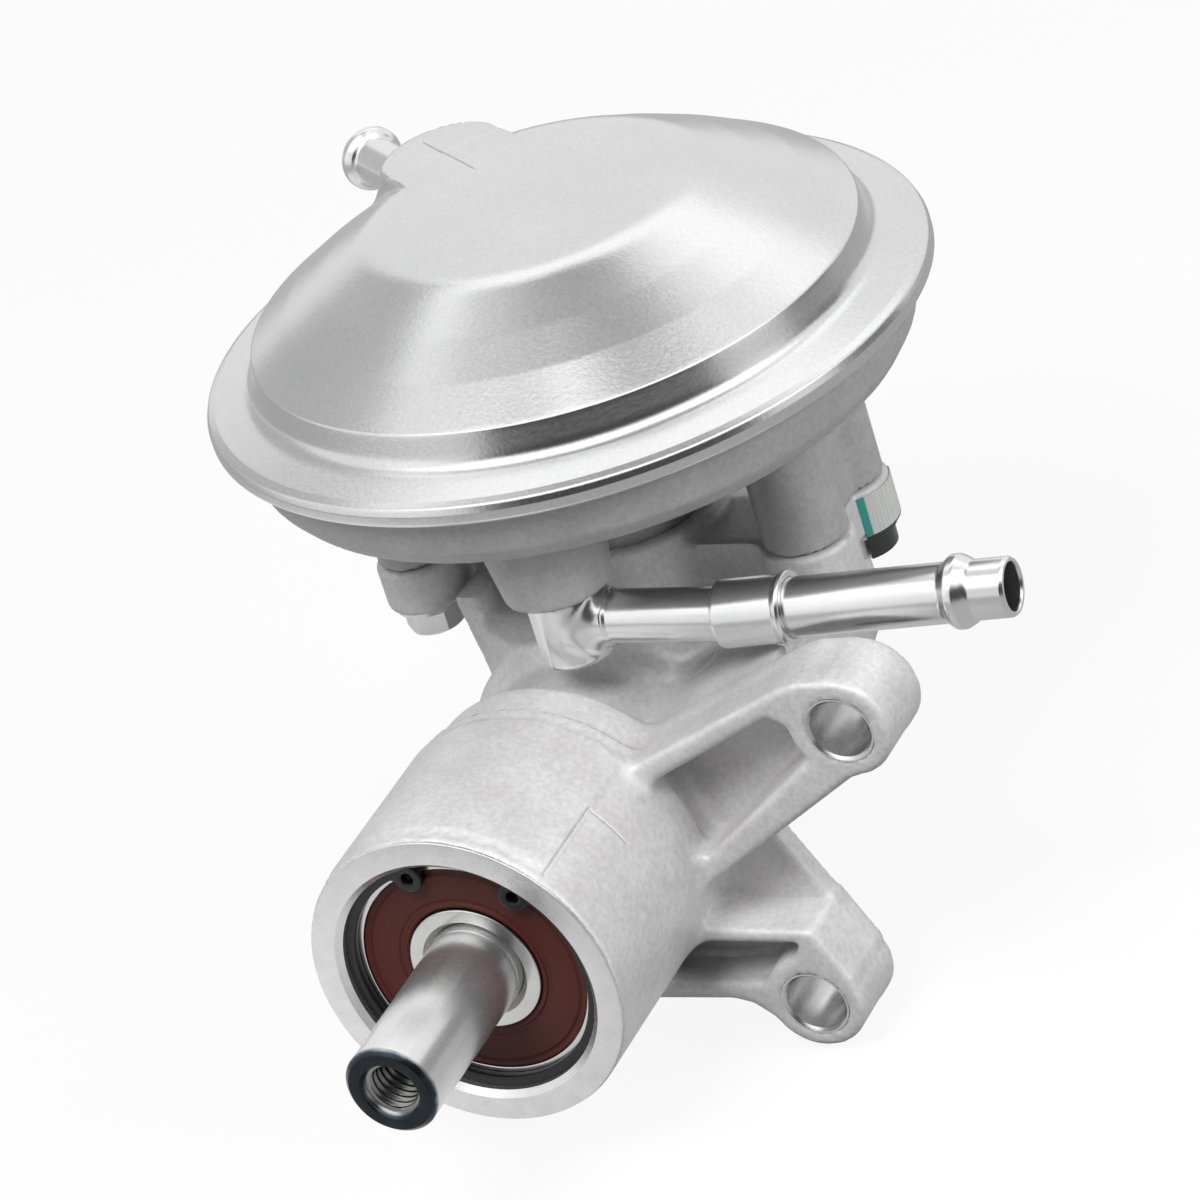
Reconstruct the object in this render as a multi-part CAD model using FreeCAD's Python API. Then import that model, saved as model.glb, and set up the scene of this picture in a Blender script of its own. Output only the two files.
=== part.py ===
"""Diaphragm vacuum pump of a truck engine, as separate pieces.

Millimetres, +Z up. The drive shaft lies along Y with its free end towards -Y. The origin is on the shaft
axis, in the plane of the bearing housing's machined front ring. The diaphragm axis is vertical, behind
the bearings, and the pump stands at bottom dead centre.
"""

import FreeCAD
import Part
import math
import os

V = FreeCAD.Vector
RIGHT = V(1, 0, 0)
BACK = V(0, 1, 0)
UP = V(0, 0, 1)

# Fits and clearances
press_gap = 0.02
running_gap = 0.06
soft_gap = 0.15
clear_gap = 0.35

# Drive shaft
shaft_r = 8.5
shaft_reach = 31.3
tip_chamfer = 0.8
undercut_r = 8.2
undercut_w = 0.8
tail_r = 5.5
thread_minor_r = 4.2
thread_length = 26.0
thread_mouth_r = 5.5

# Front bearing
front_face_y = 4.0
front_outer_r = 23.5
front_width = 14.0
front_pitch_r = 16.0
front_ball_r = 4.3
front_balls = 7
front_inner_land_r = 12.3
front_outer_land_r = 19.8
front_seal_r = 20.9

# Rear bearing
rear_face_y = 56.0
rear_outer_r = 20.0
rear_width = 12.0
rear_pitch_r = 14.25
rear_ball_r = 3.3
rear_balls = 8
rear_inner_land_r = 11.9
rear_outer_land_r = 16.8
rear_seal_r = 17.6

# Crank bearing
crank_outer_r = 18.5
crank_width = 9.0
crank_pitch_r = 14.25
crank_ball_r = 2.7
crank_balls = 9
crank_inner_land_r = 12.4
crank_outer_land_r = 16.2

# Bearing details shared by the three sizes
race_gap = 0.1
cage_gap = 0.12
cage_wall = 2.4
cage_rim = 0.7
seal_t = 1.2
seal_recess = 0.3
seal_lip_gap = 0.1
first_ball_deg = 84.0

# Circlip in front of the bearing
circlip_t = 1.75
circlip_bite = 1.1
circlip_band = 2.6
circlip_lug_r = 2.7
circlip_lug_hole_r = 1.1
circlip_gap_deg = 56.0
circlip_turn_deg = 79.0

# Bearing tube of the housing
tube_r = 29.4
tube_step_y = 41.0
tube_step_r = 28.2
tube_end_y = 50.5
waist_r = 23.5
mouth_chamfer = 1.1
front_shoulder_r = 20.5
rear_shoulder_w = 4.0
rear_shoulder_r = 17.8
spacer_wall = 2.4

# Crank chamber and diaphragm axis
pump_y = 96.5
chamber_r = 32.0
chamber_wall = 3.5
chamber_top_z = 25.0
chamber_floor_z = -6.0
chamber_edge_r = 2.0
crank_case_r = 27.4
crank_case_wall = 3.2
crank_case_y = 66.0
plug_r = 22.8
plug_face_y = 130.0
plug_t = 2.0
plug_depth = 7.0
plug_recess = 1.5

# Joint between the castings
joint_z = 34.0
neck_r = 18.3
neck_lip = 2.5
spigot_r = 15.4
spigot_depth = 6.0
neck_bore_r = 10.8
seal_ring_cord = 1.6
bolt_dx = 38.9
bolt_dy = 11.2
lug_r = 7.7
bolt_boss_r = 7.0
tall_boss_dx = 39.1
tall_boss_dy = -8.4
tall_boss_r = 7.8
boss_web_w = 8.0
arm_front_dy = -10.7
arm_back_dy = 6.4

# Body bolts
bolt_r = 3.0
bolt_af = 10.0
bolt_head_h = 4.6
bolt_flange_r = 6.6
bolt_flange_t = 1.2
bolt_thread_depth = 15.0

# Ears
ear_face_y = 36.0
ear_back_y = 51.0
ear_web_y = 46.0
ear_hole_r = 5.5
ear_hole_chamfer = 0.5
upper_ear_x = 64.2
upper_ear_z = 27.2
upper_ear_r = 9.4
lower_ear_x = 43.8
lower_ear_z = -29.9
lower_ear_r = 9.2
rib_t = 4.6
gusset_reach_y = 76.0
gusset_width_x = 46.0
gusset_t = 5.0
gusset_root_x = 4.0
gusset_narrow_x = 26.0
gusset_span_z = 45.0
rib_line_x = 23.1
rib_line_height = 20.2
rib_slope = 0.486
ear_root_x = 8.0
arm_foot_x = 29.0
arm_foot_z = -5.8
arm_tip_x = 66.84
web_root_x = 10.0
web_knee_x = 38.6
web_knee_z = 0.4
arm_pocket_x = 20.0
arm_pocket_foot_x = 31.5
arm_pocket_foot_z = 0.6
foot_line_z = -29.6
foot_knee_x = 31.0
foot_knee_z = -29.2
foot_pocket_x = 15.0
foot_wall = 3.4

# Bowl of the pump body
bowl_rim_top_z = 74.8
bowl_rim_t = 1.2
bowl_rim_r = 65.35
bowl_rim_w = 1.75
bowl_draft = 2.9
bowl_side_r = bowl_rim_r - bowl_rim_w
bowl_foot_r = bowl_side_r - bowl_draft
bowl_foot_z = 62.5
bowl_bottom_z = 58.5
bowl_wall = 3.4
bowl_floor_z = 62.0

# Inlet boss, fitting and tubes
inlet_x = 6.2
inlet_inset = 21.4
inlet_y = pump_y - bowl_foot_r + inlet_inset
inlet_boss_r = 9.7
inlet_boss_flare = 2.6
inlet_boss_z = 44.0
fitting_r = 7.0
fitting_bottom_z = 30.2
fitting_spigot_r = 5.5
fitting_spigot_h = 8.0
fitting_bore_r = 3.6
hose_z = 37.5
stub_r = 4.85
stub_wall = 1.1
stub_socket = 3.0
sleeve_x = 36.3
sleeve_length = 13.4
sleeve_wall = 0.75
sleeve_lip_r = 0.7
hose_r = 5.3
hose_wall = 1.1
hose_insert = 4.0
hose_length = 54.3
hose_yaw_deg = 4.2
hose_pitch_deg = 2.1
bead_back = 9.5
bead_r = 6.5
bead_length = 5.0

# Chamber cover
sheet_t = 1.2
dome_top_z = 99.9
wall_inset = 7.05
shoulder_inset = 2.4
cone_w = 26.7
wall_foot_r = bowl_rim_r - wall_inset
shoulder_r = wall_foot_r - shoulder_inset
dome_flat_r = shoulder_r - cone_w
dome_flat_round = 14.0
shoulder_z = 84.5
shoulder_round = 2.8
wall_foot_z = 79.2
wall_foot_round = 1.2
flange_inset = 0.75
hem_w = 1.25
flange_end_r = bowl_rim_r - flange_inset
hem_r = bowl_rim_r + hem_w
hem_round = 1.3
hem_lip = 1.7

# Outlet lobe and nipple
lobe_deg = 144.0
lobe_foot_inset = 1.8
lobe_slant = 13.0
lobe_foot_reach = wall_foot_r - lobe_foot_inset
lobe_top_reach = lobe_foot_reach - lobe_slant
lobe_top_half = 11.2
lobe_foot_half = 14.0
lobe_foot_z = 82.5
nipple_z = 88.6
nipple_r = 4.5
nipple_wall = 1.0
nipple_depth = 2.5
nipple_length = 24.9
nipple_bead_back = 3.7
nipple_start = lobe_top_reach + nipple_depth
nipple_end = nipple_start + nipple_length
nipple_bead_at = nipple_end - nipple_bead_back
nipple_bead_r = 6.0
nipple_bead_length = 3.6

# Crank, rod and diaphragm
stroke = 5.0
hub_r = 10.0
hub_sleeve_r = 8.4
hub_flange_r = 12.0
hub_flange_t = 2.0
weight_r = 18.5
weight_t = 6.0
weight_y = 76.0
snap_ring_t = 1.1
snap_ring_band = 1.6
snap_groove_depth = 0.5
tail_past_hub = 3.5
rod_ring_wall = 2.8
rod_shank_r = 4.0
rod_flange_r = 9.0
rod_flange_t = 3.0
plate_t = 1.8
lower_plate_r = 38.0
upper_plate_r = 40.0
diaphragm_t = 1.6
diaphragm_rim_t = 1.0
diaphragm_edge_gap = 0.7
screw_r = 2.5
screw_head_r = 4.6
screw_head_h = 4.0
screw_depth = 12.0
valve_ring_r = 22.0
valve_cap_r = 6.0
valve_cap_h = 1.8
valve_stem_r = 1.5
valve_port_r = 1.2
valve_port_ring_r = 3.9
valve_bulb_r = 2.2
valve_bulb_h = 2.0
transfer_valve_count = 3
valve_ports = 4
seat_r = 8.0
seat_t = 2.4
boot_r = 14.5
boot_t = 1.2
boot_crown_z = 66.2
boot_collar_h = 2.0
retainer_t = 1.0

# Tamper seal
seal_strip_t = 0.25
seal_strip_top = 8.0
seal_strip_drop = 4.2
seal_strip_deg = 96.0
seal_strip_start_deg = -56.0

# Places worked out from the sizes above
half_stroke = stroke / 2
front_end_y = front_face_y + front_width
rear_end_y = rear_face_y + rear_width
crank_start_y = pump_y - crank_width / 2
crank_end_y = pump_y + crank_width / 2
crank_z = -half_stroke
rim_plane_z = bowl_rim_top_z + diaphragm_rim_t / 2
plate_plane_z = rim_plane_z - half_stroke
lower_plate_z = plate_plane_z - diaphragm_t / 2 - plate_t
upper_plate_z = plate_plane_z + diaphragm_t / 2
lug_bottom_z = chamber_top_z
bolt_places = ((-bolt_dx, pump_y - bolt_dy), (bolt_dx, pump_y + bolt_dy))
hem_bottom_z = bowl_rim_top_z - bowl_rim_t - sheet_t
flange_z = bowl_rim_top_z + diaphragm_rim_t + sheet_t


def rod_y(radius, y0, y1, x=0.0, z=0.0):
    """Cylinder along Y between two stations."""
    return Part.makeCylinder(radius, y1 - y0, V(x, y0, z), BACK)


def pipe_y(outer, inner, y0, y1, x=0.0, z=0.0):
    """Ring along Y."""
    return rod_y(outer, y0, y1, x, z).cut(rod_y(inner, y0 - 1, y1 + 1, x, z))


def rod_z(radius, z0, z1, x=0.0, y=pump_y):
    """Cylinder along Z between two heights."""
    return Part.makeCylinder(radius, z1 - z0, V(x, y, z0), UP)


def pipe_z(outer, inner, z0, z1, x=0.0, y=pump_y):
    """Ring along Z."""
    return rod_z(outer, z0, z1, x, y).cut(rod_z(inner, z0 - 1, z1 + 1, x, y))


def rod_on(radius, start, direction, length):
    """Cylinder from a point along any direction."""
    return Part.makeCylinder(radius, length, start, direction)


def join(*shapes):
    """One solid from several that touch or overlap."""
    first = shapes[0]
    return first.fuse(list(shapes[1:])).removeSplitter()


def outline(points, place):
    """Closed wire through (u, v, corner radius) points; place turns (u, v) into a 3-D point."""
    count = len(points)
    edges = []
    ends = []
    for i in range(count):
        u, v, radius = points[i]
        corner = V(u, v, 0)
        before = V(points[i - 1][0], points[i - 1][1], 0).sub(corner)
        after = V(points[(i + 1) % count][0], points[(i + 1) % count][1], 0).sub(corner)
        if radius == 0:
            ends.append((corner, None, corner))
            continue
        before.normalize()
        after.normalize()
        half = before.getAngle(after) / 2
        middle = before.add(after)
        middle.normalize()
        run = radius / math.tan(half)
        deep = radius / math.sin(half) - radius
        ends.append((corner.add(before * run), corner.add(middle * deep), corner.add(after * run)))
    for i in range(count):
        first, middle, last = ends[i]
        if middle is not None:
            arc = Part.Arc(place(first.x, first.y), place(middle.x, middle.y), place(last.x, last.y))
            edges.append(arc.toShape())
        following = ends[(i + 1) % count][0]
        if last.distanceToPoint(following) > 1e-6:
            edges.append(Part.makeLine(place(last.x, last.y), place(following.x, following.y)))
    return Part.Wire(edges)


def turned(points, x=0.0, y=pump_y):
    """Solid of revolution about a vertical axis from (radius, height, corner radius) points."""
    wire = outline(points, lambda u, v: V(x + u, y, v))
    return Part.Face(wire).revolve(V(x, y, 0), UP, 360)


def turned_on(points, start, direction):
    """Solid of revolution about any axis; points are (radius, distance along it, corner radius)."""
    wire = outline(points, lambda u, v: V(u, 0, v))
    solid = Part.Face(wire).revolve(V(0, 0, 0), UP, 360)
    solid.Placement = FreeCAD.Placement(start, FreeCAD.Rotation(UP, direction))
    return solid


def plate_y(points, y0, y1):
    """Prism along Y from an (x, z, corner radius) outline."""
    return Part.Face(outline(points, lambda u, v: V(u, y0, v))).extrude(V(0, y1 - y0, 0))


def plate_z(points, z0, z1):
    """Prism along Z from an (x, y, corner radius) outline."""
    return Part.Face(outline(points, lambda u, v: V(u, v, z0))).extrude(V(0, 0, z1 - z0))


def cone_z(r0, r1, z0, z1, x, y):
    """Upright cone."""
    return Part.makeCone(r0, r1, z1 - z0, V(x, y, z0), UP)


def round_spots(radius, count, x=0.0, y=0.0, start_deg=0.0):
    """Evenly spaced points on a circle."""
    spots = []
    for i in range(count):
        turn = math.radians(start_deg + 360.0 * i / count)
        spots.append((x + radius * math.cos(turn), y + radius * math.sin(turn)))
    return spots


def lobe_point(reach, side, z):
    """Point at a reach along the outlet lobe's direction and a distance to its side."""
    turn = math.radians(lobe_deg)
    x = reach * math.cos(turn) - side * math.sin(turn)
    y = pump_y + reach * math.sin(turn) + side * math.cos(turn)
    return V(x, y, z)


def make_bearing(start_y, x, z, bore_r, outer_r, width, lands, pitch_r, ball_r, count, seal_r):
    """Rings, balls, cage and two seals of a deep groove ball bearing along Y."""
    inner_land, outer_land = lands
    middle = start_y + width / 2
    end_y = start_y + width
    groove = Part.makeTorus(pitch_r, ball_r + race_gap, V(x, middle, z), BACK)
    inner = pipe_y(inner_land, bore_r + press_gap, start_y, end_y, x, z).cut(groove)
    outer = pipe_y(outer_r, outer_land, start_y, end_y, x, z).cut(groove)
    seals = []
    if seal_r:
        reach = seal_recess + seal_t
        for y0 in (start_y + seal_recess, end_y - reach):
            seals.append(pipe_y(seal_r - press_gap, inner_land + seal_lip_gap, y0, y0 + seal_t, x, z))
        outer = outer.cut(rod_y(seal_r, start_y - 1, start_y + reach, x, z))
        outer = outer.cut(rod_y(seal_r, end_y - reach, end_y + 1, x, z))
    half = ball_r + cage_gap + cage_rim
    cage = pipe_y(pitch_r + cage_wall / 2, pitch_r - cage_wall / 2, middle - half, middle + half, x, z)
    balls = []
    for bx, bz in round_spots(pitch_r, count, x, z, first_ball_deg):
        balls.append(Part.makeSphere(ball_r, V(bx, middle, bz)))
        outward = V(bx - x, 0, bz - z)
        outward.normalize()
        start = V(bx, middle, bz).sub(outward * cage_wall)
        cage = cage.cut(rod_on(ball_r + cage_gap, start, outward, 2 * cage_wall))
    return outer, inner, Part.makeCompound(balls), cage, seals


def make_circlip():
    """Internal circlip: a ring with a gap at the top between two drilled lugs."""
    outer = front_outer_r + circlip_bite - clear_gap / 2
    inner = outer - circlip_band
    start = front_face_y - circlip_t
    ring = pipe_y(outer, inner, start, front_face_y)
    lug_at = inner - circlip_lug_r * 0.35
    middle = math.radians(circlip_turn_deg)
    half = math.radians(circlip_gap_deg / 2)
    far = 2 * front_outer_r
    first = V(far * math.cos(middle - half), 0, far * math.sin(middle - half))
    second = V(far * math.cos(middle + half), 0, far * math.sin(middle + half))
    corner = V(far * math.cos(middle), 0, far * math.sin(middle))
    wedge = Part.Face(Part.makePolygon([V(0, 0, 0), first, corner, second, V(0, 0, 0)]))
    ring = ring.cut(wedge.extrude(V(0, front_face_y, 0)))
    for turn in (middle - half, middle + half):
        x = lug_at * math.cos(turn)
        z = lug_at * math.sin(turn)
        ring = ring.fuse(rod_y(circlip_lug_r, start, front_face_y, x, z))
    for turn in (middle - half, middle + half):
        x = lug_at * math.cos(turn)
        z = lug_at * math.sin(turn)
        ring = ring.cut(rod_y(circlip_lug_hole_r, start - 1, front_face_y + 1, x, z))
    return ring.removeSplitter()


def make_shaft():
    """Shaft with a chamfered, threaded free end and a thinner tail for the eccentric hub."""
    tail_end = crank_end_y + tail_past_hub
    points = [
        (0, -shaft_reach, 0), (shaft_r - tip_chamfer, -shaft_reach, 0),
        (shaft_r, -shaft_reach + tip_chamfer, 0), (shaft_r, front_face_y - undercut_w, 0),
        (undercut_r, front_face_y - undercut_w, 0), (undercut_r, front_face_y, 0),
        (shaft_r, front_face_y, 0), (shaft_r, rear_end_y, 0), (tail_r, rear_end_y, 0),
        (tail_r, tail_end, 0), (0, tail_end, 0),
    ]
    shaft = turned_on(points, V(0, 0, 0), BACK)
    shaft = shaft.cut(rod_y(thread_minor_r, -shaft_reach - 1, -shaft_reach + thread_length))
    mouth_depth = thread_mouth_r - thread_minor_r
    mouth = Part.makeCone(thread_mouth_r, thread_minor_r, mouth_depth, V(0, -shaft_reach, 0), BACK)
    groove_y = crank_end_y + clear_gap
    groove = pipe_y(tail_r + 1, tail_r - snap_groove_depth, groove_y, groove_y + snap_ring_t + press_gap)
    return shaft.cut(mouth).cut(groove)


def make_hub():
    """Eccentric hub: a sleeve against the rear bearing, a flange and the offset journal."""
    flange_y = crank_start_y - hub_flange_t
    sleeve = rod_y(hub_sleeve_r, rear_end_y, flange_y + hub_flange_t / 2)
    flange = rod_y(hub_flange_r, flange_y, crank_start_y, 0, crank_z)
    journal = rod_y(hub_r, crank_start_y, crank_end_y, 0, crank_z)
    hub = join(sleeve, flange, journal)
    return hub.cut(rod_y(tail_r + press_gap, rear_end_y - 1, crank_end_y + 1))


def make_counterweight():
    """Half disc that balances the rod, on the side away from the journal's offset."""
    disc = rod_y(weight_r, weight_y, weight_y + weight_t)
    below = Part.makeBox(4 * weight_r, weight_t, 2 * weight_r, V(-2 * weight_r, weight_y, -2 * weight_r))
    collar = rod_y(hub_sleeve_r + rod_ring_wall, weight_y, weight_y + weight_t)
    weight = join(disc.cut(below), collar)
    return weight.cut(rod_y(hub_sleeve_r + press_gap, weight_y - 1, weight_y + weight_t + 1))


def make_snap_ring():
    """Open ring in the groove of the shaft's tail."""
    start = crank_end_y + clear_gap
    inner = tail_r - snap_groove_depth + press_gap
    ring = pipe_y(inner + snap_ring_band, inner, start, start + snap_ring_t)
    gap = Part.makeBox(inner, snap_ring_t, 4 * tail_r, V(-inner / 2, start, 0))
    return ring.cut(gap)


def make_rod():
    """Ring round the crank bearing, shank and top flange that carries the diaphragm plates."""
    outer = crank_outer_r + rod_ring_wall
    top = lower_plate_z
    ring = rod_y(outer, crank_start_y, crank_end_y, 0, crank_z)
    shank = rod_z(rod_shank_r, crank_z + crank_outer_r + rod_ring_wall / 2, top)
    foot_z = crank_z + outer - 1.5
    foot = cone_z(rod_shank_r + 0.5, rod_shank_r, foot_z, foot_z + rod_shank_r, 0, pump_y)
    flange = rod_z(rod_flange_r, top - rod_flange_t, top)
    rod = join(ring, shank, foot, flange)
    rod = rod.cut(rod_y(crank_outer_r + press_gap, crank_start_y - 1, crank_end_y + 1, 0, crank_z))
    return rod.cut(rod_z(screw_r, top - screw_depth, top + 1))


def valve_spots():
    """Centres of the transfer valves."""
    return round_spots(valve_ring_r, transfer_valve_count, 0, pump_y, 30)


def valve_holes(x, y, z0, z1):
    """Stem hole and flow ports of one umbrella valve."""
    holes = [rod_z(valve_stem_r + soft_gap, z0, z1, x, y)]
    for px, py in round_spots(valve_port_ring_r, valve_ports, x, y, 45):
        holes.append(rod_z(valve_port_r, z0, z1, px, py))
    return holes


def make_plate(radius, z0):
    """Pressed diaphragm plate with the screw hole and the valve holes."""
    plate = turned([(0, z0, 0), (radius, z0, plate_t / 3), (radius, z0 + plate_t, plate_t / 3),
                    (0, z0 + plate_t, 0)])
    plate = plate.cut(rod_z(screw_r + press_gap, z0 - 1, z0 + plate_t + 1))
    for x, y in valve_spots():
        plate = plate.cut(valve_holes(x, y, z0 - 1, z0 + plate_t + 1))
    return plate


def make_umbrella(x, y, seat_z, stack):
    """Rubber umbrella valve: cap above the seat, stem and a retaining bulb below."""
    low = seat_z - stack
    cap = turned([(0, seat_z, 0), (valve_cap_r, seat_z, 0.3), (valve_cap_r, seat_z + 0.7, 0.3),
                  (0, seat_z + valve_cap_h, 0)], x, y)
    stem = rod_z(valve_stem_r, low - valve_bulb_h, seat_z + 0.5, x, y)
    bulb = cone_z(valve_stem_r, valve_bulb_r, low - valve_bulb_h, low, x, y)
    return join(cap, stem, bulb)


def make_diaphragm():
    """Rubber disc: flat rim under the cover, a rolled step down and a flat clamped middle."""
    mid_low = lower_plate_z + plate_t
    mid_high = upper_plate_z
    rim_low = bowl_rim_top_z
    rim_high = rim_low + diaphragm_rim_t
    inner_r = upper_plate_r + 3.0
    outer_r = bowl_side_r - bowl_wall - diaphragm_edge_gap
    disc = turned([
        (0, mid_low, 0), (inner_r, mid_low, 3.0), (outer_r, rim_low, 3.0), (bowl_rim_r, rim_low, 0),
        (bowl_rim_r, rim_high, 0), (outer_r - 0.6, rim_high, 3.0), (inner_r - 0.6, mid_high, 3.0),
        (0, mid_high, 0),
    ])
    disc = disc.cut(rod_z(screw_r + press_gap, mid_low - 1, mid_high + 1))
    for x, y in valve_spots():
        disc = disc.cut(valve_holes(x, y, mid_low - 1, mid_high + 1))
    return disc


def make_screw():
    """Hex headed screw that holds plates and diaphragm on the rod."""
    seat = upper_plate_z + plate_t
    head = Part.Face(Part.makePolygon(
        [V(x, y, seat) for x, y in round_spots(screw_head_r, 6, 0, pump_y)]
        + [V(screw_head_r, pump_y, seat)])).extrude(V(0, 0, screw_head_h))
    shank = rod_z(screw_r - press_gap, lower_plate_z - screw_depth + 1, seat + 1)
    return join(head, shank)


def dome_path(inset):
    """Cover outline from its top to the flange, moved inwards by inset, for a filled solid."""
    return [
        (0, dome_top_z - inset, 0),
        (dome_flat_r, dome_top_z - inset, dome_flat_round - inset),
        (shoulder_r - inset * 0.77, shoulder_z - inset * 0.71, shoulder_round - inset),
        (wall_foot_r - inset * 0.73, wall_foot_z - inset * 0.8, wall_foot_round + inset),
        (flange_end_r, flange_z - inset, 0),
    ]


def make_lobe(inset):
    """Raised lobe towards the outlet: a loft from its foot outline to its flat top."""
    wires = []
    heights = ((lobe_foot_z, lobe_foot_reach, lobe_foot_half), (dome_top_z - inset, lobe_top_reach, lobe_top_half))
    for z, reach, half in heights:
        end = reach - inset
        side = half - inset
        bend = side * 0.8
        points = [(0, -side, 0), (end, -side, bend), (end, side, bend), (0, side, 0)]
        wires.append(outline(points, lambda u, v, z=z: lobe_point(u, v, z)))
    return Part.makeLoft(wires, True, True)


def make_cover():
    """Pressed cover: dome, wall and flange of one sheet, rolled under the bowl's rim."""
    under_rim = bowl_rim_top_z - bowl_rim_t
    outer = turned(dome_path(0) + [
        (hem_r, flange_z, hem_round), (hem_r, hem_bottom_z, hem_round), (0, hem_bottom_z, 0)])
    pocket_r = bowl_rim_r + press_gap
    inner = turned(dome_path(sheet_t) + [
        (pocket_r, flange_z - sheet_t, 0), (pocket_r, under_rim, 0),
        (bowl_rim_r - hem_lip, under_rim, 0), (bowl_rim_r - hem_lip, hem_bottom_z - 1, 0),
        (0, hem_bottom_z - 1, 0)])
    direction = lobe_point(1, 0, 0).sub(lobe_point(0, 0, 0))
    hole = rod_on(nipple_r + press_gap, lobe_point(nipple_start - 2, 0, nipple_z), direction, 20)
    return join(outer, make_lobe(0)).cut(join(inner, make_lobe(sheet_t))).cut(hole)


def make_nipple():
    """Hose nipple with a rolled bead, fixed in the end wall of the lobe."""
    direction = lobe_point(1, 0, 0).sub(lobe_point(0, 0, 0))
    start = lobe_point(0, 0, nipple_z)
    half = nipple_bead_length / 2
    crown = (nipple_bead_r - nipple_r) * 0.9
    points = [
        (nipple_r - nipple_wall, nipple_start, 0), (nipple_r, nipple_start, 0),
        (nipple_r, nipple_bead_at - half, 0), (nipple_bead_r, nipple_bead_at - half + 0.5, crown),
        (nipple_bead_r, nipple_bead_at + half - 0.5, crown), (nipple_r, nipple_bead_at + half, 0),
        (nipple_r, nipple_end, 0), (nipple_r - nipple_wall, nipple_end, 0),
    ]
    return turned_on(points, start, direction)


def make_pump_body():
    """Upper casting: bowl with a clamped rim, bolt bosses, inlet boss and the neck spigot."""
    under_rim = bowl_rim_top_z - bowl_rim_t
    bottom = joint_z - spigot_depth
    body = turned([
        (neck_bore_r, bottom, 0), (spigot_r, bottom, 0.6), (spigot_r, bowl_bottom_z, 3.0),
        (bowl_foot_r - 6, bowl_bottom_z, 5.0), (bowl_foot_r, bowl_foot_z, 2.5),
        (bowl_side_r, under_rim, 0), (bowl_rim_r, under_rim, 0), (bowl_rim_r, bowl_rim_top_z, 0),
        (bowl_side_r - bowl_wall, bowl_rim_top_z, 1.0),
        (bowl_foot_r - bowl_wall, bowl_floor_z + 4, 3.0), (bowl_foot_r - bowl_wall - 5, bowl_floor_z, 3.0),
        (neck_bore_r, bowl_floor_z, 0),
    ])
    inner_z = bowl_floor_z - 1
    bosses = [cone_z(inlet_boss_r, inlet_boss_r + inlet_boss_flare, inlet_boss_z, inner_z, inlet_x, inlet_y)]
    for x, y in bolt_places:
        bosses.append(rod_z(bolt_boss_r, joint_z, inner_z, x, y))
    tall_y = pump_y + tall_boss_dy
    bosses.append(rod_z(tall_boss_r, joint_z, inner_z, tall_boss_dx, tall_y))
    web_x = bolt_dx - boss_web_w / 2
    web = Part.makeBox(boss_web_w, bolt_dy - tall_boss_dy, inner_z - joint_z, V(web_x, tall_y, joint_z))
    bosses.append(web)
    body = join(body, *bosses)
    for x, y in bolt_places:
        body = body.cut(rod_z(bolt_r + press_gap, joint_z - 1, joint_z + bolt_thread_depth, x, y))
    body = body.cut(rod_z(fitting_spigot_r + press_gap, inlet_boss_z - 1, bowl_floor_z + 1, inlet_x, inlet_y))
    seat = rod_z(seat_r + press_gap, bowl_floor_z - seat_t, bowl_floor_z + 1, inlet_x, inlet_y)
    boot_seat = pipe_z(boot_r + press_gap, neck_bore_r, bowl_floor_z - boot_t, bowl_floor_z + 1)
    groove_z = joint_z - spigot_depth / 2 - seal_ring_cord / 2
    groove = pipe_z(spigot_r + 1, spigot_r - seal_ring_cord, groove_z, groove_z + seal_ring_cord)
    return body.cut([seat, boot_seat, groove])


def rib_line_z(x):
    """Height of the upper ear's top line at x."""
    return rib_line_height + rib_slope * (x - rib_line_x)


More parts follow.
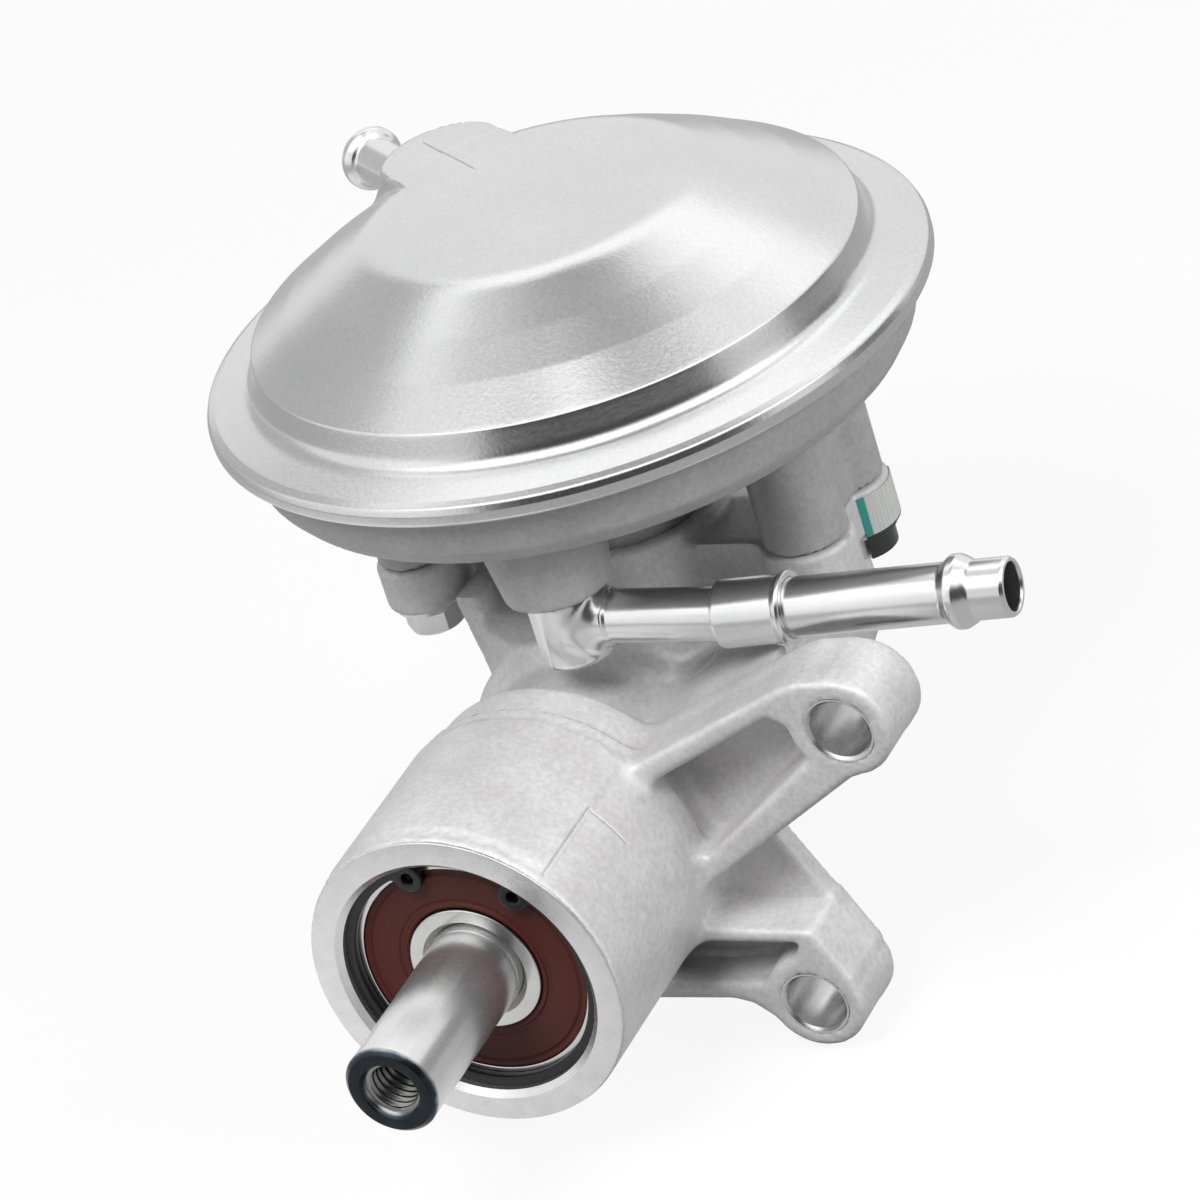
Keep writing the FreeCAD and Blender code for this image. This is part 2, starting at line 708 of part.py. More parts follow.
def make_ears():
    """Two bored ears on ribs, joined by a web, and a gusset that runs back to the crank chamber."""
    top = upper_ear_z + upper_ear_r
    knee_x = rib_line_x + (top - rib_line_height) / rib_slope
    low_z = upper_ear_z - 0.8 * upper_ear_r
    upper = plate_y([
        (ear_root_x, rib_line_z(ear_root_x), 0), (knee_x, top, 6), (upper_ear_x, top, 0),
        (upper_ear_x, low_z, 0), (arm_tip_x, low_z + 0.1, 0), (arm_foot_x, arm_foot_z, 0),
        (ear_root_x, arm_foot_z, 0)], ear_face_y, ear_back_y)
    lower_top = lower_ear_z + 1.65 * lower_ear_r
    slant_x = lower_ear_x + 0.9 * lower_ear_r
    slant_z = lower_ear_z + 0.5 * lower_ear_r
    lower = plate_y([
        (ear_root_x, lower_top + 0.6, 0), (lower_ear_x + 3.2, lower_top, 2), (slant_x, slant_z, 0),
        (lower_ear_x, lower_ear_z - lower_ear_r + 0.2, 0), (foot_knee_x, foot_knee_z, 6),
        (ear_root_x, foot_line_z, 0)],
        ear_face_y, ear_back_y)
    web_low_z = lower_top - rib_t
    web = plate_y([(web_root_x, 0, 0), (web_knee_x, web_knee_z, 0), (slant_x, slant_z, 0),
                   (lower_ear_x, web_low_z, 0), (web_root_x, web_low_z, 0)], ear_web_y, ear_back_y)
    ears = join(
        upper, lower, web,
        rod_y(upper_ear_r, ear_face_y, ear_back_y, upper_ear_x, upper_ear_z),
        rod_y(lower_ear_r, ear_face_y, ear_back_y, lower_ear_x, lower_ear_z))
    inner_z = upper_ear_z - 0.55 * upper_ear_r
    inner_x = upper_ear_x - 0.85 * upper_ear_r
    upper_pocket = plate_y([
        (arm_pocket_x, rib_line_z(arm_pocket_x) - rib_t * 1.15, 0), (knee_x - 3.0, top - rib_t * 1.35, 3),
        (inner_x - 1.2, upper_ear_z - 1, 2), (inner_x + 1.2, inner_z, 2),
        (arm_pocket_foot_x, arm_pocket_foot_z, 1), (arm_pocket_x, arm_pocket_foot_z, 0)],
        ear_face_y - 1, ear_web_y)
    lower_pocket = plate_y([
        (foot_pocket_x, lower_top - rib_t * 0.62, 0), (lower_ear_x - 0.6, lower_top - rib_t * 0.62, 2),
        (lower_ear_x - 0.85 * lower_ear_r, lower_ear_z + 0.5 * lower_ear_r, 2),
        (foot_pocket_x, foot_line_z + foot_wall, 0)],
        ear_face_y - 1, ear_web_y)
    root_x = gusset_root_x
    reach = plate_z([(root_x, ear_back_y - 1, 0), (gusset_width_x, ear_back_y - 1, 0),
                     (gusset_narrow_x, gusset_reach_y, 0), (root_x, gusset_reach_y, 0)],
                    -gusset_span_z, gusset_span_z)
    gusset = plate_y([(root_x, rib_line_z(root_x), 0), (knee_x, top, 0), (knee_x, top - gusset_t, 0),
                      (root_x, rib_line_z(root_x) - gusset_t, 0)], ear_back_y - 1, gusset_reach_y).common(reach)
    foot = plate_y([(root_x, foot_line_z, 0), (foot_knee_x, foot_knee_z, 0),
                    (foot_knee_x, foot_knee_z + gusset_t, 0), (root_x, foot_line_z + gusset_t, 0)],
                   ear_back_y - 1, gusset_reach_y).common(reach)
    ears = join(ears.cut(join(upper_pocket, lower_pocket)), gusset, foot)
    for x, z in ((upper_ear_x, upper_ear_z), (lower_ear_x, lower_ear_z)):
        ears = ears.cut(rod_y(ear_hole_r, ear_face_y - 1, ear_back_y + 1, x, z))
        wide = ear_hole_r + ear_hole_chamfer
        mouth = Part.makeCone(wide, ear_hole_r, ear_hole_chamfer, V(x, ear_face_y, z), BACK)
        back = Part.makeCone(ear_hole_r, wide, ear_hole_chamfer, V(x, ear_back_y - ear_hole_chamfer, z), BACK)
        ears = ears.cut([mouth, back])
    return ears


def make_flange():
    """Neck ring and the two arms that carry the bolt lugs."""
    front = pump_y + arm_front_dy
    back = pump_y + arm_back_dy
    right = Part.makeBox(bolt_dx - 8, back - front, joint_z - lug_bottom_z, V(8, front, lug_bottom_z))
    left = Part.makeBox(bolt_dx - 8, back - front, joint_z - lug_bottom_z,
                        V(-bolt_dx, 2 * pump_y - back, lug_bottom_z))
    tall_y = pump_y + tall_boss_dy
    link_x = bolt_dx - boss_web_w / 2
    link_h = joint_z - lug_bottom_z
    link = Part.makeBox(boss_web_w, bolt_dy - tall_boss_dy, link_h, V(link_x, tall_y, lug_bottom_z))
    pieces = [right, left, link, rod_z(tall_boss_r + 0.8, lug_bottom_z, joint_z, tall_boss_dx, tall_y)]
    for x, y in bolt_places:
        pieces.append(rod_z(lug_r, lug_bottom_z, joint_z, x, y))
    pieces.append(rod_z(neck_r, lug_bottom_z - 1, joint_z + neck_lip))
    return join(*pieces)


def make_housing():
    """Lower casting: bearing tube, crank chamber, flange with lugs, and the two ears."""
    tube = turned_on([
        (0, 0, 0), (tube_r, 0, 0.4), (tube_r, tube_step_y, 0), (tube_step_r, tube_step_y + 0.8, 0),
        (tube_step_r, tube_end_y, 3.0), (waist_r, tube_end_y, 2.0), (waist_r, pump_y - chamber_r + 8, 0),
        (0, pump_y - chamber_r + 8, 0)], V(0, 0, 0), BACK)
    chamber = turned([(0, chamber_floor_z, 0), (chamber_r, chamber_floor_z, chamber_edge_r),
                      (chamber_r, chamber_top_z, 0.8), (0, chamber_top_z, 0)])
    crank_case = rod_y(crank_case_r, crank_case_y, plug_face_y)
    housing = tube.fuse([chamber, crank_case, make_flange(), make_ears()])
    bore_end = front_end_y
    rear_start = rear_face_y - rear_shoulder_w
    plug_seat_y = plug_face_y - plug_recess - plug_depth
    bores = [
        rod_y(front_outer_r + press_gap, -1, bore_end),
        Part.makeCone(front_outer_r + mouth_chamfer, front_outer_r, mouth_chamfer, V(0, 0, 0), BACK),
        rod_y(front_outer_r + circlip_bite, front_face_y - circlip_t - press_gap, front_face_y),
        rod_y(front_shoulder_r, bore_end - 1, rear_start),
        rod_y(rear_shoulder_r, rear_start - 1, rear_face_y + 1),
        rod_y(rear_outer_r + press_gap, rear_face_y, pump_y),
        rod_y(crank_case_r - crank_case_wall, crank_case_y + chamber_wall, plug_seat_y),
        rod_z(chamber_r - chamber_wall, chamber_floor_z + chamber_wall, chamber_top_z - chamber_wall),
        rod_z(spigot_r + running_gap, chamber_top_z - chamber_wall - 1, joint_z + neck_lip + 1),
        rod_y(plug_r, pump_y, plug_face_y + 1),
    ]
    for x, y in bolt_places:
        bores.append(rod_z(bolt_r + clear_gap, lug_bottom_z - 1, joint_z + 1, x, y))
    for bore in bores:
        housing = housing.cut(bore)
    return housing


def make_plug():
    """Pressed cup plug that closes the crank chamber."""
    outer = plug_r - press_gap
    start = plug_face_y - plug_recess - plug_depth
    return turned_on([
        (0, start + plug_depth - plug_t, 0), (outer - plug_t, start + plug_depth - plug_t, 1.5),
        (outer - plug_t, start, 0), (outer, start, 0), (outer, start + plug_depth, 2.5),
        (0, start + plug_depth, 0)], V(0, 0, 0), BACK)


def make_bolts():
    """Hex flange bolts, up through the lugs into the bolt bosses."""
    bolts = []
    seat = lug_bottom_z
    corner = bolt_af / math.sqrt(3)
    for x, y in bolt_places:
        flange = rod_z(bolt_flange_r, seat - bolt_flange_t, seat, x, y)
        spots = round_spots(corner, 6, x, y, 10)
        ring = [V(px, py, seat - bolt_flange_t - bolt_head_h) for px, py in spots]
        head = Part.Face(Part.makePolygon(ring + [ring[0]])).extrude(V(0, 0, bolt_head_h + 0.5))
        shank = rod_z(bolt_r, seat - 1, joint_z + bolt_thread_depth - 2, x, y)
        bolts.append(join(flange, head, shank))
    return Part.makeCompound(bolts)


def make_tamper_seal():
    """Thin strip over the side of the right lug, its bolt flange and its bolt head."""
    x, y = bolt_places[1]
    top = lug_bottom_z + seal_strip_top
    head_r = bolt_af / math.sqrt(3) + soft_gap
    low = lug_bottom_z - bolt_flange_t - seal_strip_drop
    inner = [(lug_r + press_gap, top), (lug_r + press_gap, lug_bottom_z - soft_gap),
             (bolt_flange_r + soft_gap, lug_bottom_z - soft_gap),
             (bolt_flange_r + soft_gap, lug_bottom_z - bolt_flange_t - soft_gap),
             (head_r, lug_bottom_z - bolt_flange_t - soft_gap), (head_r, low)]
    t = seal_strip_t
    outer = [(r + t, z - (t if i in (1, 2, 3, 4) else 0)) for i, (r, z) in enumerate(inner)]
    points = [(r, z, 0) for r, z in inner] + [(r, z, 0) for r, z in reversed(outer)]
    wire = outline(points, lambda u, v: V(x + u, y, v))
    strip = Part.Face(wire).revolve(V(x, y, 0), UP, seal_strip_deg)
    strip.rotate(V(x, y, 0), UP, seal_strip_start_deg)
    return strip


def make_fitting():
    """Inlet plug: vertical cylinder with a spigot in the inlet boss and a side socket."""
    body = turned([
        (0, fitting_bottom_z, 0), (fitting_r, fitting_bottom_z, 1.0), (fitting_r, inlet_boss_z, 0),
        (fitting_spigot_r, inlet_boss_z, 0), (fitting_spigot_r, inlet_boss_z + fitting_spigot_h, 0),
        (0, inlet_boss_z + fitting_spigot_h, 0)], inlet_x, inlet_y)
    bore = rod_z(fitting_bore_r, hose_z - fitting_bore_r, inlet_boss_z + fitting_spigot_h + 1, inlet_x, inlet_y)
    centre = V(inlet_x, inlet_y, hose_z)
    cross = rod_on(fitting_bore_r, centre, RIGHT, fitting_r + 1)
    socket_at = V(inlet_x + fitting_r - stub_socket, inlet_y, hose_z)
    socket = rod_on(stub_r + press_gap, socket_at, RIGHT, stub_socket + 1)
    return body.cut([bore, cross, socket])


def hose_direction():
    """Direction of the sleeve and the hose tube."""
    yaw = math.radians(hose_yaw_deg)
    pitch = math.radians(hose_pitch_deg)
    return V(math.cos(pitch) * math.cos(yaw), math.cos(pitch) * math.sin(yaw), math.sin(pitch))


def make_stub():
    """Tube brazed into the fitting's socket."""
    start = V(inlet_x + fitting_r - stub_socket, inlet_y, hose_z)
    length = sleeve_x + hose_insert - start.x - 0.6
    return rod_on(stub_r, start, RIGHT, length).cut(rod_on(stub_r - stub_wall, start, RIGHT, length))


def make_sleeve():
    """Sleeve over the stub and the hose tube, with a rolled lip at its open end."""
    inner = hose_r + press_gap
    outer = inner + sleeve_wall
    return turned_on([
        (inner, 0, 0), (outer, 0, 0.3), (outer, sleeve_length - 2 * sleeve_lip_r, 0),
        (outer + sleeve_lip_r, sleeve_length - 2 * sleeve_lip_r, 0.5),
        (outer + sleeve_lip_r, sleeve_length, 0.5), (inner, sleeve_length, 0)],
        V(sleeve_x, inlet_y, hose_z), hose_direction())


def make_hose_tube():
    """Hose tube from inside the sleeve to its open end, with a bead that keeps the hose on."""
    start = V(sleeve_x, inlet_y, hose_z)
    bead_start = hose_length - bead_back - bead_length / 2
    bead_end = bead_start + bead_length
    crown = (bead_r - hose_r) * 0.9
    return turned_on([
        (hose_r - hose_wall, hose_insert, 0), (hose_r, hose_insert, 0), (hose_r, bead_start, 0),
        (bead_r, bead_start + 1.2, crown), (bead_r, bead_end - 0.8, crown), (hose_r, bead_end, 0),
        (hose_r, hose_length, 0.3), (hose_r - hose_wall, hose_length, 0)], start, hose_direction())


def make_valve_seat():
    """Disc in the bowl's floor that carries the inlet valve."""
    low = bowl_floor_z - seat_t
    seat = rod_z(seat_r, low, bowl_floor_z, inlet_x, inlet_y)
    return seat.cut(valve_holes(inlet_x, inlet_y, low - 1, bowl_floor_z + 1))


def make_boot():
    """Rubber boot from the neck's edge up to a collar round the rod."""
    low = bowl_floor_z - boot_t
    inner = rod_shank_r + running_gap
    crown = boot_crown_z
    middle = (boot_r + inner) / 2 - 1
    return turned([
        (neck_bore_r, low, 0), (boot_r, low, 0), (boot_r, bowl_floor_z, 0), (neck_bore_r, bowl_floor_z, 0.5),
        (middle, crown, 1.5), (inner + boot_t, crown - 2, 0.5), (inner + boot_t, crown - 2 - boot_collar_h, 0),
        (inner, crown - 2 - boot_collar_h, 0), (inner, crown - 1.2, 0.4), (middle - 1, crown - boot_t, 0),
        (neck_bore_r - 1.6, bowl_floor_z - 0.2, 0)])


def make_retainer():
    """Steel ring that presses the boot's edge into the bowl's floor."""
    return pipe_z(boot_r + 2, neck_bore_r + 0.6, bowl_floor_z + soft_gap, bowl_floor_z + soft_gap + retainer_t)


def make_seal_ring():
    """Rubber ring in the spigot's groove."""
    middle = joint_z - spigot_depth / 2
    half = seal_ring_cord / 2 - press_gap
    return Part.makeTorus(spigot_r - half, half, V(0, pump_y, middle), UP)


def build():
    """All pieces by node name."""
    pieces = {}
    front_lands = (front_inner_land_r, front_outer_land_r)
    outer, inner, balls, cage, seals = make_bearing(
        front_face_y, 0, 0, shaft_r, front_outer_r, front_width, front_lands, front_pitch_r,
        front_ball_r, front_balls, front_seal_r)
    pieces["front_bearing_outer_ring"] = outer
    pieces["front_bearing_inner_ring"] = inner
    pieces["front_bearing_balls"] = balls
    pieces["front_bearing_cage"] = cage
    pieces["front_bearing_front_seal"] = seals[0]
    pieces["front_bearing_rear_seal"] = seals[1]
    rear_lands = (rear_inner_land_r, rear_outer_land_r)
    outer, inner, balls, cage, seals = make_bearing(
        rear_face_y, 0, 0, shaft_r, rear_outer_r, rear_width, rear_lands, rear_pitch_r,
        rear_ball_r, rear_balls, rear_seal_r)
    pieces["rear_bearing_outer_ring"] = outer
    pieces["rear_bearing_inner_ring"] = inner
    pieces["rear_bearing_balls"] = balls
    pieces["rear_bearing_cage"] = cage
    pieces["rear_bearing_seals"] = Part.makeCompound(seals)
    crank_lands = (crank_inner_land_r, crank_outer_land_r)
    outer, inner, balls, cage, seals = make_bearing(
        crank_start_y, 0, crank_z, hub_r, crank_outer_r, crank_width, crank_lands, crank_pitch_r,
        crank_ball_r, crank_balls, 0)
    pieces["crank_bearing_outer_ring"] = outer
    pieces["crank_bearing_inner_ring"] = inner
    pieces["crank_bearing_balls"] = balls
    pieces["crank_bearing_cage"] = cage
    pieces["bearing_circlip"] = make_circlip()
    pieces["bearing_spacer"] = pipe_y(
        shaft_r + press_gap + spacer_wall, shaft_r + press_gap, front_end_y, rear_face_y)
    pieces["drive_shaft"] = make_shaft()
    pieces["eccentric_hub"] = make_hub()
    pieces["counterweight"] = make_counterweight()
    pieces["hub_snap_ring"] = make_snap_ring()
    pieces["connecting_rod"] = make_rod()
    pieces["lower_diaphragm_plate"] = make_plate(lower_plate_r, lower_plate_z)
    pieces["upper_diaphragm_plate"] = make_plate(upper_plate_r, upper_plate_z)
    pieces["diaphragm"] = make_diaphragm()
    pieces["diaphragm_screw"] = make_screw()
    stack = 2 * plate_t + diaphragm_t
    pieces["transfer_valves"] = Part.makeCompound(
        [make_umbrella(x, y, upper_plate_z + plate_t, stack) for x, y in valve_spots()])
    pieces["chamber_cover"] = make_cover()
    pieces["outlet_nipple"] = make_nipple()
    pieces["pump_body"] = make_pump_body()
    pieces["bearing_housing"] = make_housing()
    pieces["rear_plug"] = make_plug()
    pieces["body_bolts"] = make_bolts()
    pieces["tamper_seal"] = make_tamper_seal()
    pieces["inlet_fitting"] = make_fitting()
    pieces["inlet_stub_tube"] = make_stub()
    pieces["inlet_sleeve"] = make_sleeve()
    pieces["inlet_hose_tube"] = make_hose_tube()
    pieces["inlet_valve_seat"] = make_valve_seat()
    pieces["inlet_valve"] = make_umbrella(inlet_x, inlet_y, bowl_floor_z, seat_t)
    pieces["rod_boot"] = make_boot()
    pieces["boot_retainer"] = make_retainer()
    pieces["neck_seal_ring"] = make_seal_ring()
    return pieces


def main():
    """Write one STEP file for each piece."""
    os.makedirs("parts", exist_ok=True)
    for name, shape in build().items():
        shape.exportStep("parts/" + name + ".step")
        solids = len(shape.Solids)
        print(f"{name}: {solids} solid(s), {shape.Volume / 1000:.2f} cm3, valid {shape.isValid()}")


main()
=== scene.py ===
# %% [markdown]
# # A diaphragm vacuum pump, dressed in Blender
# The object is a belt driven vacuum pump of a truck engine: a pressed round cover on a cast bowl, and below it a
# cast housing with the drive shaft's bearing and two bored ears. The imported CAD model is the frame. It could be
# rendered as it is, but its solids are hard edged, so each piece that shows is built again here as a surface
# worked out with numpy, in the same place and to the same sizes, and gets the finish of its real material.

# %% Load the frame
import math
import bpy
import numpy as np
from mathutils import Matrix, Vector


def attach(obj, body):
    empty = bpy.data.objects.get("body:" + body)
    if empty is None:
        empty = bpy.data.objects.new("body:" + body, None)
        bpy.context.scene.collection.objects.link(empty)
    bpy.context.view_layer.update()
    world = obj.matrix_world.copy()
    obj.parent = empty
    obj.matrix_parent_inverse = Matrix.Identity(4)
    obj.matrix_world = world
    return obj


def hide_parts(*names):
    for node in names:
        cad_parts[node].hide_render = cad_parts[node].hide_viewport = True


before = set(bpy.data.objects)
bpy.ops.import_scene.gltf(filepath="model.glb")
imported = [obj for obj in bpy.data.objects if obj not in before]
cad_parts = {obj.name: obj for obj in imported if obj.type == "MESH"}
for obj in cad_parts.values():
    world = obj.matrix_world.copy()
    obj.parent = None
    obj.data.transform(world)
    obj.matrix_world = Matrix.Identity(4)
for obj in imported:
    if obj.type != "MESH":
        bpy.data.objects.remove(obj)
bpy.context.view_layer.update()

# %% [markdown]
# ## From numbers to a piece
# Each shape below is an array of points in millimetres and a list of faces. One function turns them into a mesh
# in metres, marks edges sharper than a given angle, lets the piece ride on its body and hides the solids that it
# stands for. The object stays at the origin, so patterns on Object coordinates lie still.

# %% Piece maker
MM = 0.001


def piece(name, points, faces, body, paint, stands_for=(), slot=None, sharp_deg=35.0):
    """A mesh from points in mm: coordinates are multiplied by a thousandth and written as one flat array."""
    mesh = bpy.data.meshes.new(name)
    mesh.from_pydata([], [], [])
    points = np.asarray(points, float).reshape(-1, 3) * MM
    faces = np.asarray(faces, np.int32)
    count, corners = faces.shape
    mesh.vertices.add(len(points))
    mesh.vertices.foreach_set("co", points.astype(np.float32).ravel())
    mesh.loops.add(count * corners)
    mesh.loops.foreach_set("vertex_index", faces.ravel())
    mesh.polygons.add(count)
    mesh.polygons.foreach_set("loop_start", np.arange(count, dtype=np.int32) * corners)
    mesh.polygons.foreach_set("loop_total", np.full(count, corners, np.int32))
    mesh.update(calc_edges=True)
    mesh.validate()
    mesh.shade_smooth()
    mesh.set_sharp_from_angle(angle=math.radians(sharp_deg))
    mesh.materials.append(paint)
    made = bpy.data.objects.new(name, mesh)
    bpy.context.scene.collection.objects.link(made)
    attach(made, body)
    if stands_for:
        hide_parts(*stands_for)
    print(f"{name}: {len(points)} points, {count} faces")
    return made


# %% [markdown]
# ## Grids and profiles
# Turned parts, tubes and rings are a profile carried round an axis. The profile is a short list of corners, each
# with its own radius, and the arcs between the straight runs are worked out once. Drawing with corner radii keeps
# the numbers the same as on a workshop drawing.

# %% Grid helpers
def grid_faces(rows, columns, close_rows=False, close_columns=True):
    """Quads of a grid: each joins a point, the next in its row and the two below, turning over at a closed side."""
    r = np.arange(rows if close_rows else rows - 1)
    c = np.arange(columns if close_columns else columns - 1)
    r, c = [a.ravel() for a in np.meshgrid(r, c, indexing="ij")]
    r2 = (r + 1) % rows
    c2 = (c + 1) % columns
    return np.stack([r * columns + c, r * columns + c2, r2 * columns + c2, r2 * columns + c], 1)


def rounded(corners, steps=6, closed=True):
    """Polyline through (u, v, radius) corners: a corner's arc starts radius / tan(half angle) before it."""
    line = []
    count = len(corners)
    for i, (u, v, radius) in enumerate(corners):
        here = np.array([u, v], float)
        if radius == 0 or (not closed and i in (0, count - 1)):
            line.append(here)
            continue
        before = np.array(corners[i - 1][:2], float) - here
        after = np.array(corners[(i + 1) % count][:2], float) - here
        before /= np.linalg.norm(before)
        after /= np.linalg.norm(after)
        half = math.acos(np.clip(before @ after, -1, 1)) / 2
        first = here + before * radius / math.tan(half)
        last = here + after * radius / math.tan(half)
        middle = (before + after) / np.linalg.norm(before + after)
        centre = here + middle * radius / math.sin(half)
        a0 = math.atan2(*(first - centre)[::-1])
        turn = (math.atan2(*(last - centre)[::-1]) - a0 + math.pi) % (2 * math.pi) - math.pi
        for t in np.linspace(0, 1, steps + 1):
            line.append(centre + radius * np.array([math.cos(a0 + turn * t), math.sin(a0 + turn * t)]))
    return np.array(line)


def axes_for(direction):
    """Two unit vectors square to a direction, found by taking cross products."""
    d = np.array(direction, float) / np.linalg.norm(direction)
    helper = np.array([0, 0, 1.0]) if abs(d[2]) < 0.9 else np.array([1.0, 0, 0])
    a = np.cross(helper, d)
    a /= np.linalg.norm(a)
    return a, np.cross(d, a), d


def turned(profile, start, direction, columns=128, wobble=None):
    """Profile of (radius, distance) round an axis: start + direction * distance + radius * (cos, sin)."""
    a, b, d = axes_for(direction)
    turn = np.linspace(0, 2 * math.pi, columns, endpoint=False)
    radius = profile[:, 0][:, None] + (0 if wobble is None else wobble(profile, turn))
    ring = radius[..., None] * (np.cos(turn)[:, None] * a + np.sin(turn)[:, None] * b)
    points = np.array(start, float) + profile[:, 1][:, None, None] * d + ring
    faces = grid_faces(len(profile), columns, close_rows=True)
    return points.reshape(-1, 3), faces


def outwards(points, faces):
    """Faces in the order that makes the enclosed volume positive: the sum of each face's signed cone."""
    p = points[faces]
    cones = np.einsum("ij,ij->i", p[:, 0], np.cross(p[:, 1], p[:, 2]))
    if faces.shape[1] == 4:
        cones += np.einsum("ij,ij->i", p[:, 0], np.cross(p[:, 2], p[:, 3]))
    return faces if cones.sum() > 0 else faces[:, ::-1]


def lathe(name, corners, start, direction, body, paint, columns=128, steps=6, **options):
    """A turned piece from profile corners."""
    points, faces = turned(rounded(corners, steps), start, direction, columns)
    return piece(name, points, outwards(points, faces), body, paint, **options)


print("helpers ready")

# %% [markdown]
# ## Shader maths as plain expressions
# Finishes are sums, products and mixes of noise and waves. Writing them node by node hides the idea, so one small
# class wraps a socket, and the usual operators add the Math nodes. Every other node comes from one method.

# %% Paint and wires
class Wire:
    """A number that travels through one material's nodes, with the operators that the finishes use."""

    def __init__(self, paint, socket):
        self.paint = paint
        self.socket = socket

    def math(self, how, *values, clamp=False):
        return self.paint.node("ShaderNodeMath", {"operation": how, "use_clamp": clamp}, dict(enumerate(values)))

    def __add__(self, other):
        return self.math("ADD", self, other)

    def __sub__(self, other):
        return self.math("SUBTRACT", self, other)

    def __rsub__(self, other):
        return self.math("SUBTRACT", other, self)

    def __mul__(self, other):
        return self.math("MULTIPLY", self, other)

    def __truediv__(self, other):
        return self.math("DIVIDE", self, other)

    def power(self, other):
        return self.math("POWER", self, other)

    def clamped(self):
        return self.math("MULTIPLY", self, 1.0, clamp=True)

    def size(self):
        return self.math("ABSOLUTE", self)

    def above_zero(self):
        return self.math("MAXIMUM", self, 0.0)

    __radd__ = __add__
    __rmul__ = __mul__


class Paint:
    """One material: its node tree, its shader, and a method that makes any node."""

    def __init__(self, name, **fixed):
        self.material = bpy.data.materials.new(name)
        self.material.use_nodes = True
        self.tree = self.material.node_tree
        self.shader = self.tree.nodes["Principled BSDF"]
        for key, value in fixed.items():
            self.shader.inputs[key.replace("_", " ")].default_value = value

    def node(self, kind, settings=None, inputs=None, out=0):
        """Makes a node: its settings first, then the values or links of its sockets."""
        made = self.tree.nodes.new(kind)
        for key, value in (settings or {}).items():
            if key == "stops":
                made.color_ramp.elements[0].position, made.color_ramp.elements[0].color = value[0]
                made.color_ramp.elements[1].position, made.color_ramp.elements[1].color = value[-1]
                for place, shade in value[1:-1]:
                    made.color_ramp.elements.new(place).color = shade
            else:
                setattr(made, key, value)
        for key, value in (inputs or {}).items():
            self.plug(made.inputs[key], value)
        return Wire(self, made.outputs[out])

    def plug(self, socket, value):
        """Joins a wire to a socket, or writes a plain value into it."""
        if isinstance(value, Wire):
            self.tree.links.new(value.socket, socket)
        else:
            socket.default_value = value

    def where(self):
        """Object coordinates, in metres."""
        return self.node("ShaderNodeTexCoord", out="Object")

    def apart(self, vector):
        """The three numbers of a vector."""
        made = self.tree.nodes.new("ShaderNodeSeparateXYZ")
        self.plug(made.inputs[0], vector)
        return [Wire(self, s) for s in made.outputs]

    def noise(self, size_mm, detail=2.0, roughness=0.5, vector=None):
        """Noise from 0 to 1 whose blots are about size_mm wide."""
        inputs = {"Vector": vector or self.where(), "Scale": 1000.0 / size_mm,
                  "Detail": detail, "Roughness": roughness}
        return self.node("ShaderNodeTexNoise", {}, inputs)

    def colour(self, factor, *stops):
        """A colour ramp: stops are (place, (r, g, b))."""
        stops = [(place, (*shade, 1.0)) for place, shade in stops]
        return self.node("ShaderNodeValToRGB", {"stops": stops}, {"Fac": factor})

    def between(self, factor, low, high):
        """A number that goes from low to high as factor goes from 0 to 1."""
        return factor * (high - low) + low

    def finish(self, colour=None, roughness=None, bump=None, bump_mm=0.02, strength=1.0):
        """Joins the colour, roughness and bump to the shader and returns the material."""
        if colour is not None:
            self.plug(self.shader.inputs["Base Color"], colour)
        if roughness is not None:
            self.plug(self.shader.inputs["Roughness"], roughness)
        if bump is not None:
            inputs = {"Height": bump, "Strength": strength, "Distance": bump_mm * MM}
            self.plug(self.shader.inputs["Normal"], self.node("ShaderNodeBump", {}, inputs))
        return self.material


def grey(value, warm=0.0):
    """A grey with a little warmth: red up and blue down by the same share."""
    return (value * (1 + warm), value, value * (1 - warm))


print("paint tools ready")

# %% [markdown]
# ## Die cast aluminium
# Molten aluminium freezes against a steel die, which leaves a matte skin with cloudy flow marks and a fine
# grain. It could be one grey, but the clouds are what makes it read as cast. Two sizes of noise tint it and a
# third, fine one makes the grain.

# %% Cast paint
def seam(paint):
    """Die's parting line on the bearing tube: it runs along it at 45.5 degrees, then turns down to the ear."""
    seam_turn, tube_r, seam_front, seam_back, seam_down = 0.794, 29.4, 2.5, 22.0, 9.0
    x, y, z = paint.apart(paint.where())
    arc = (x.math("ARCTAN2", z, x) - seam_turn) * tube_r
    y = y * 1000.0
    behind = y - seam_back
    along = arc.size() + behind.above_zero() + (seam_front - y).above_zero()
    across = behind.size() + arc.above_zero() + (arc * -1.0 - seam_down).above_zero()
    near = along.math("MINIMUM", along, across)
    return 1.0 - (near * 2.2).clamped()


def cast_paint(name, light, dark, cloud_mm, seamed=False):
    paint = Paint(name, Metallic=0.22)
    clouds = paint.noise(cloud_mm, 4.0, 0.6)
    specks = paint.noise(1.1, 2.0, 0.6)
    grain = paint.noise(0.45, 2.0, 0.6)
    mix = (clouds * 0.45 + specks * 0.55 - 0.5) * 2.0 + 0.5
    colour = paint.colour(mix, (0.25, (dark * 1.01, dark * 0.985, dark)), (0.75, grey(light, 0.002)))
    rough = paint.between(clouds * 0.5 + specks * 0.5, 0.34, 0.56)
    height = grain * 0.6 + specks * 0.5 + clouds * 0.6
    if seamed:
        height = height - seam(paint) * 6.0
    return paint.finish(colour, rough, height, 0.05, 0.55)


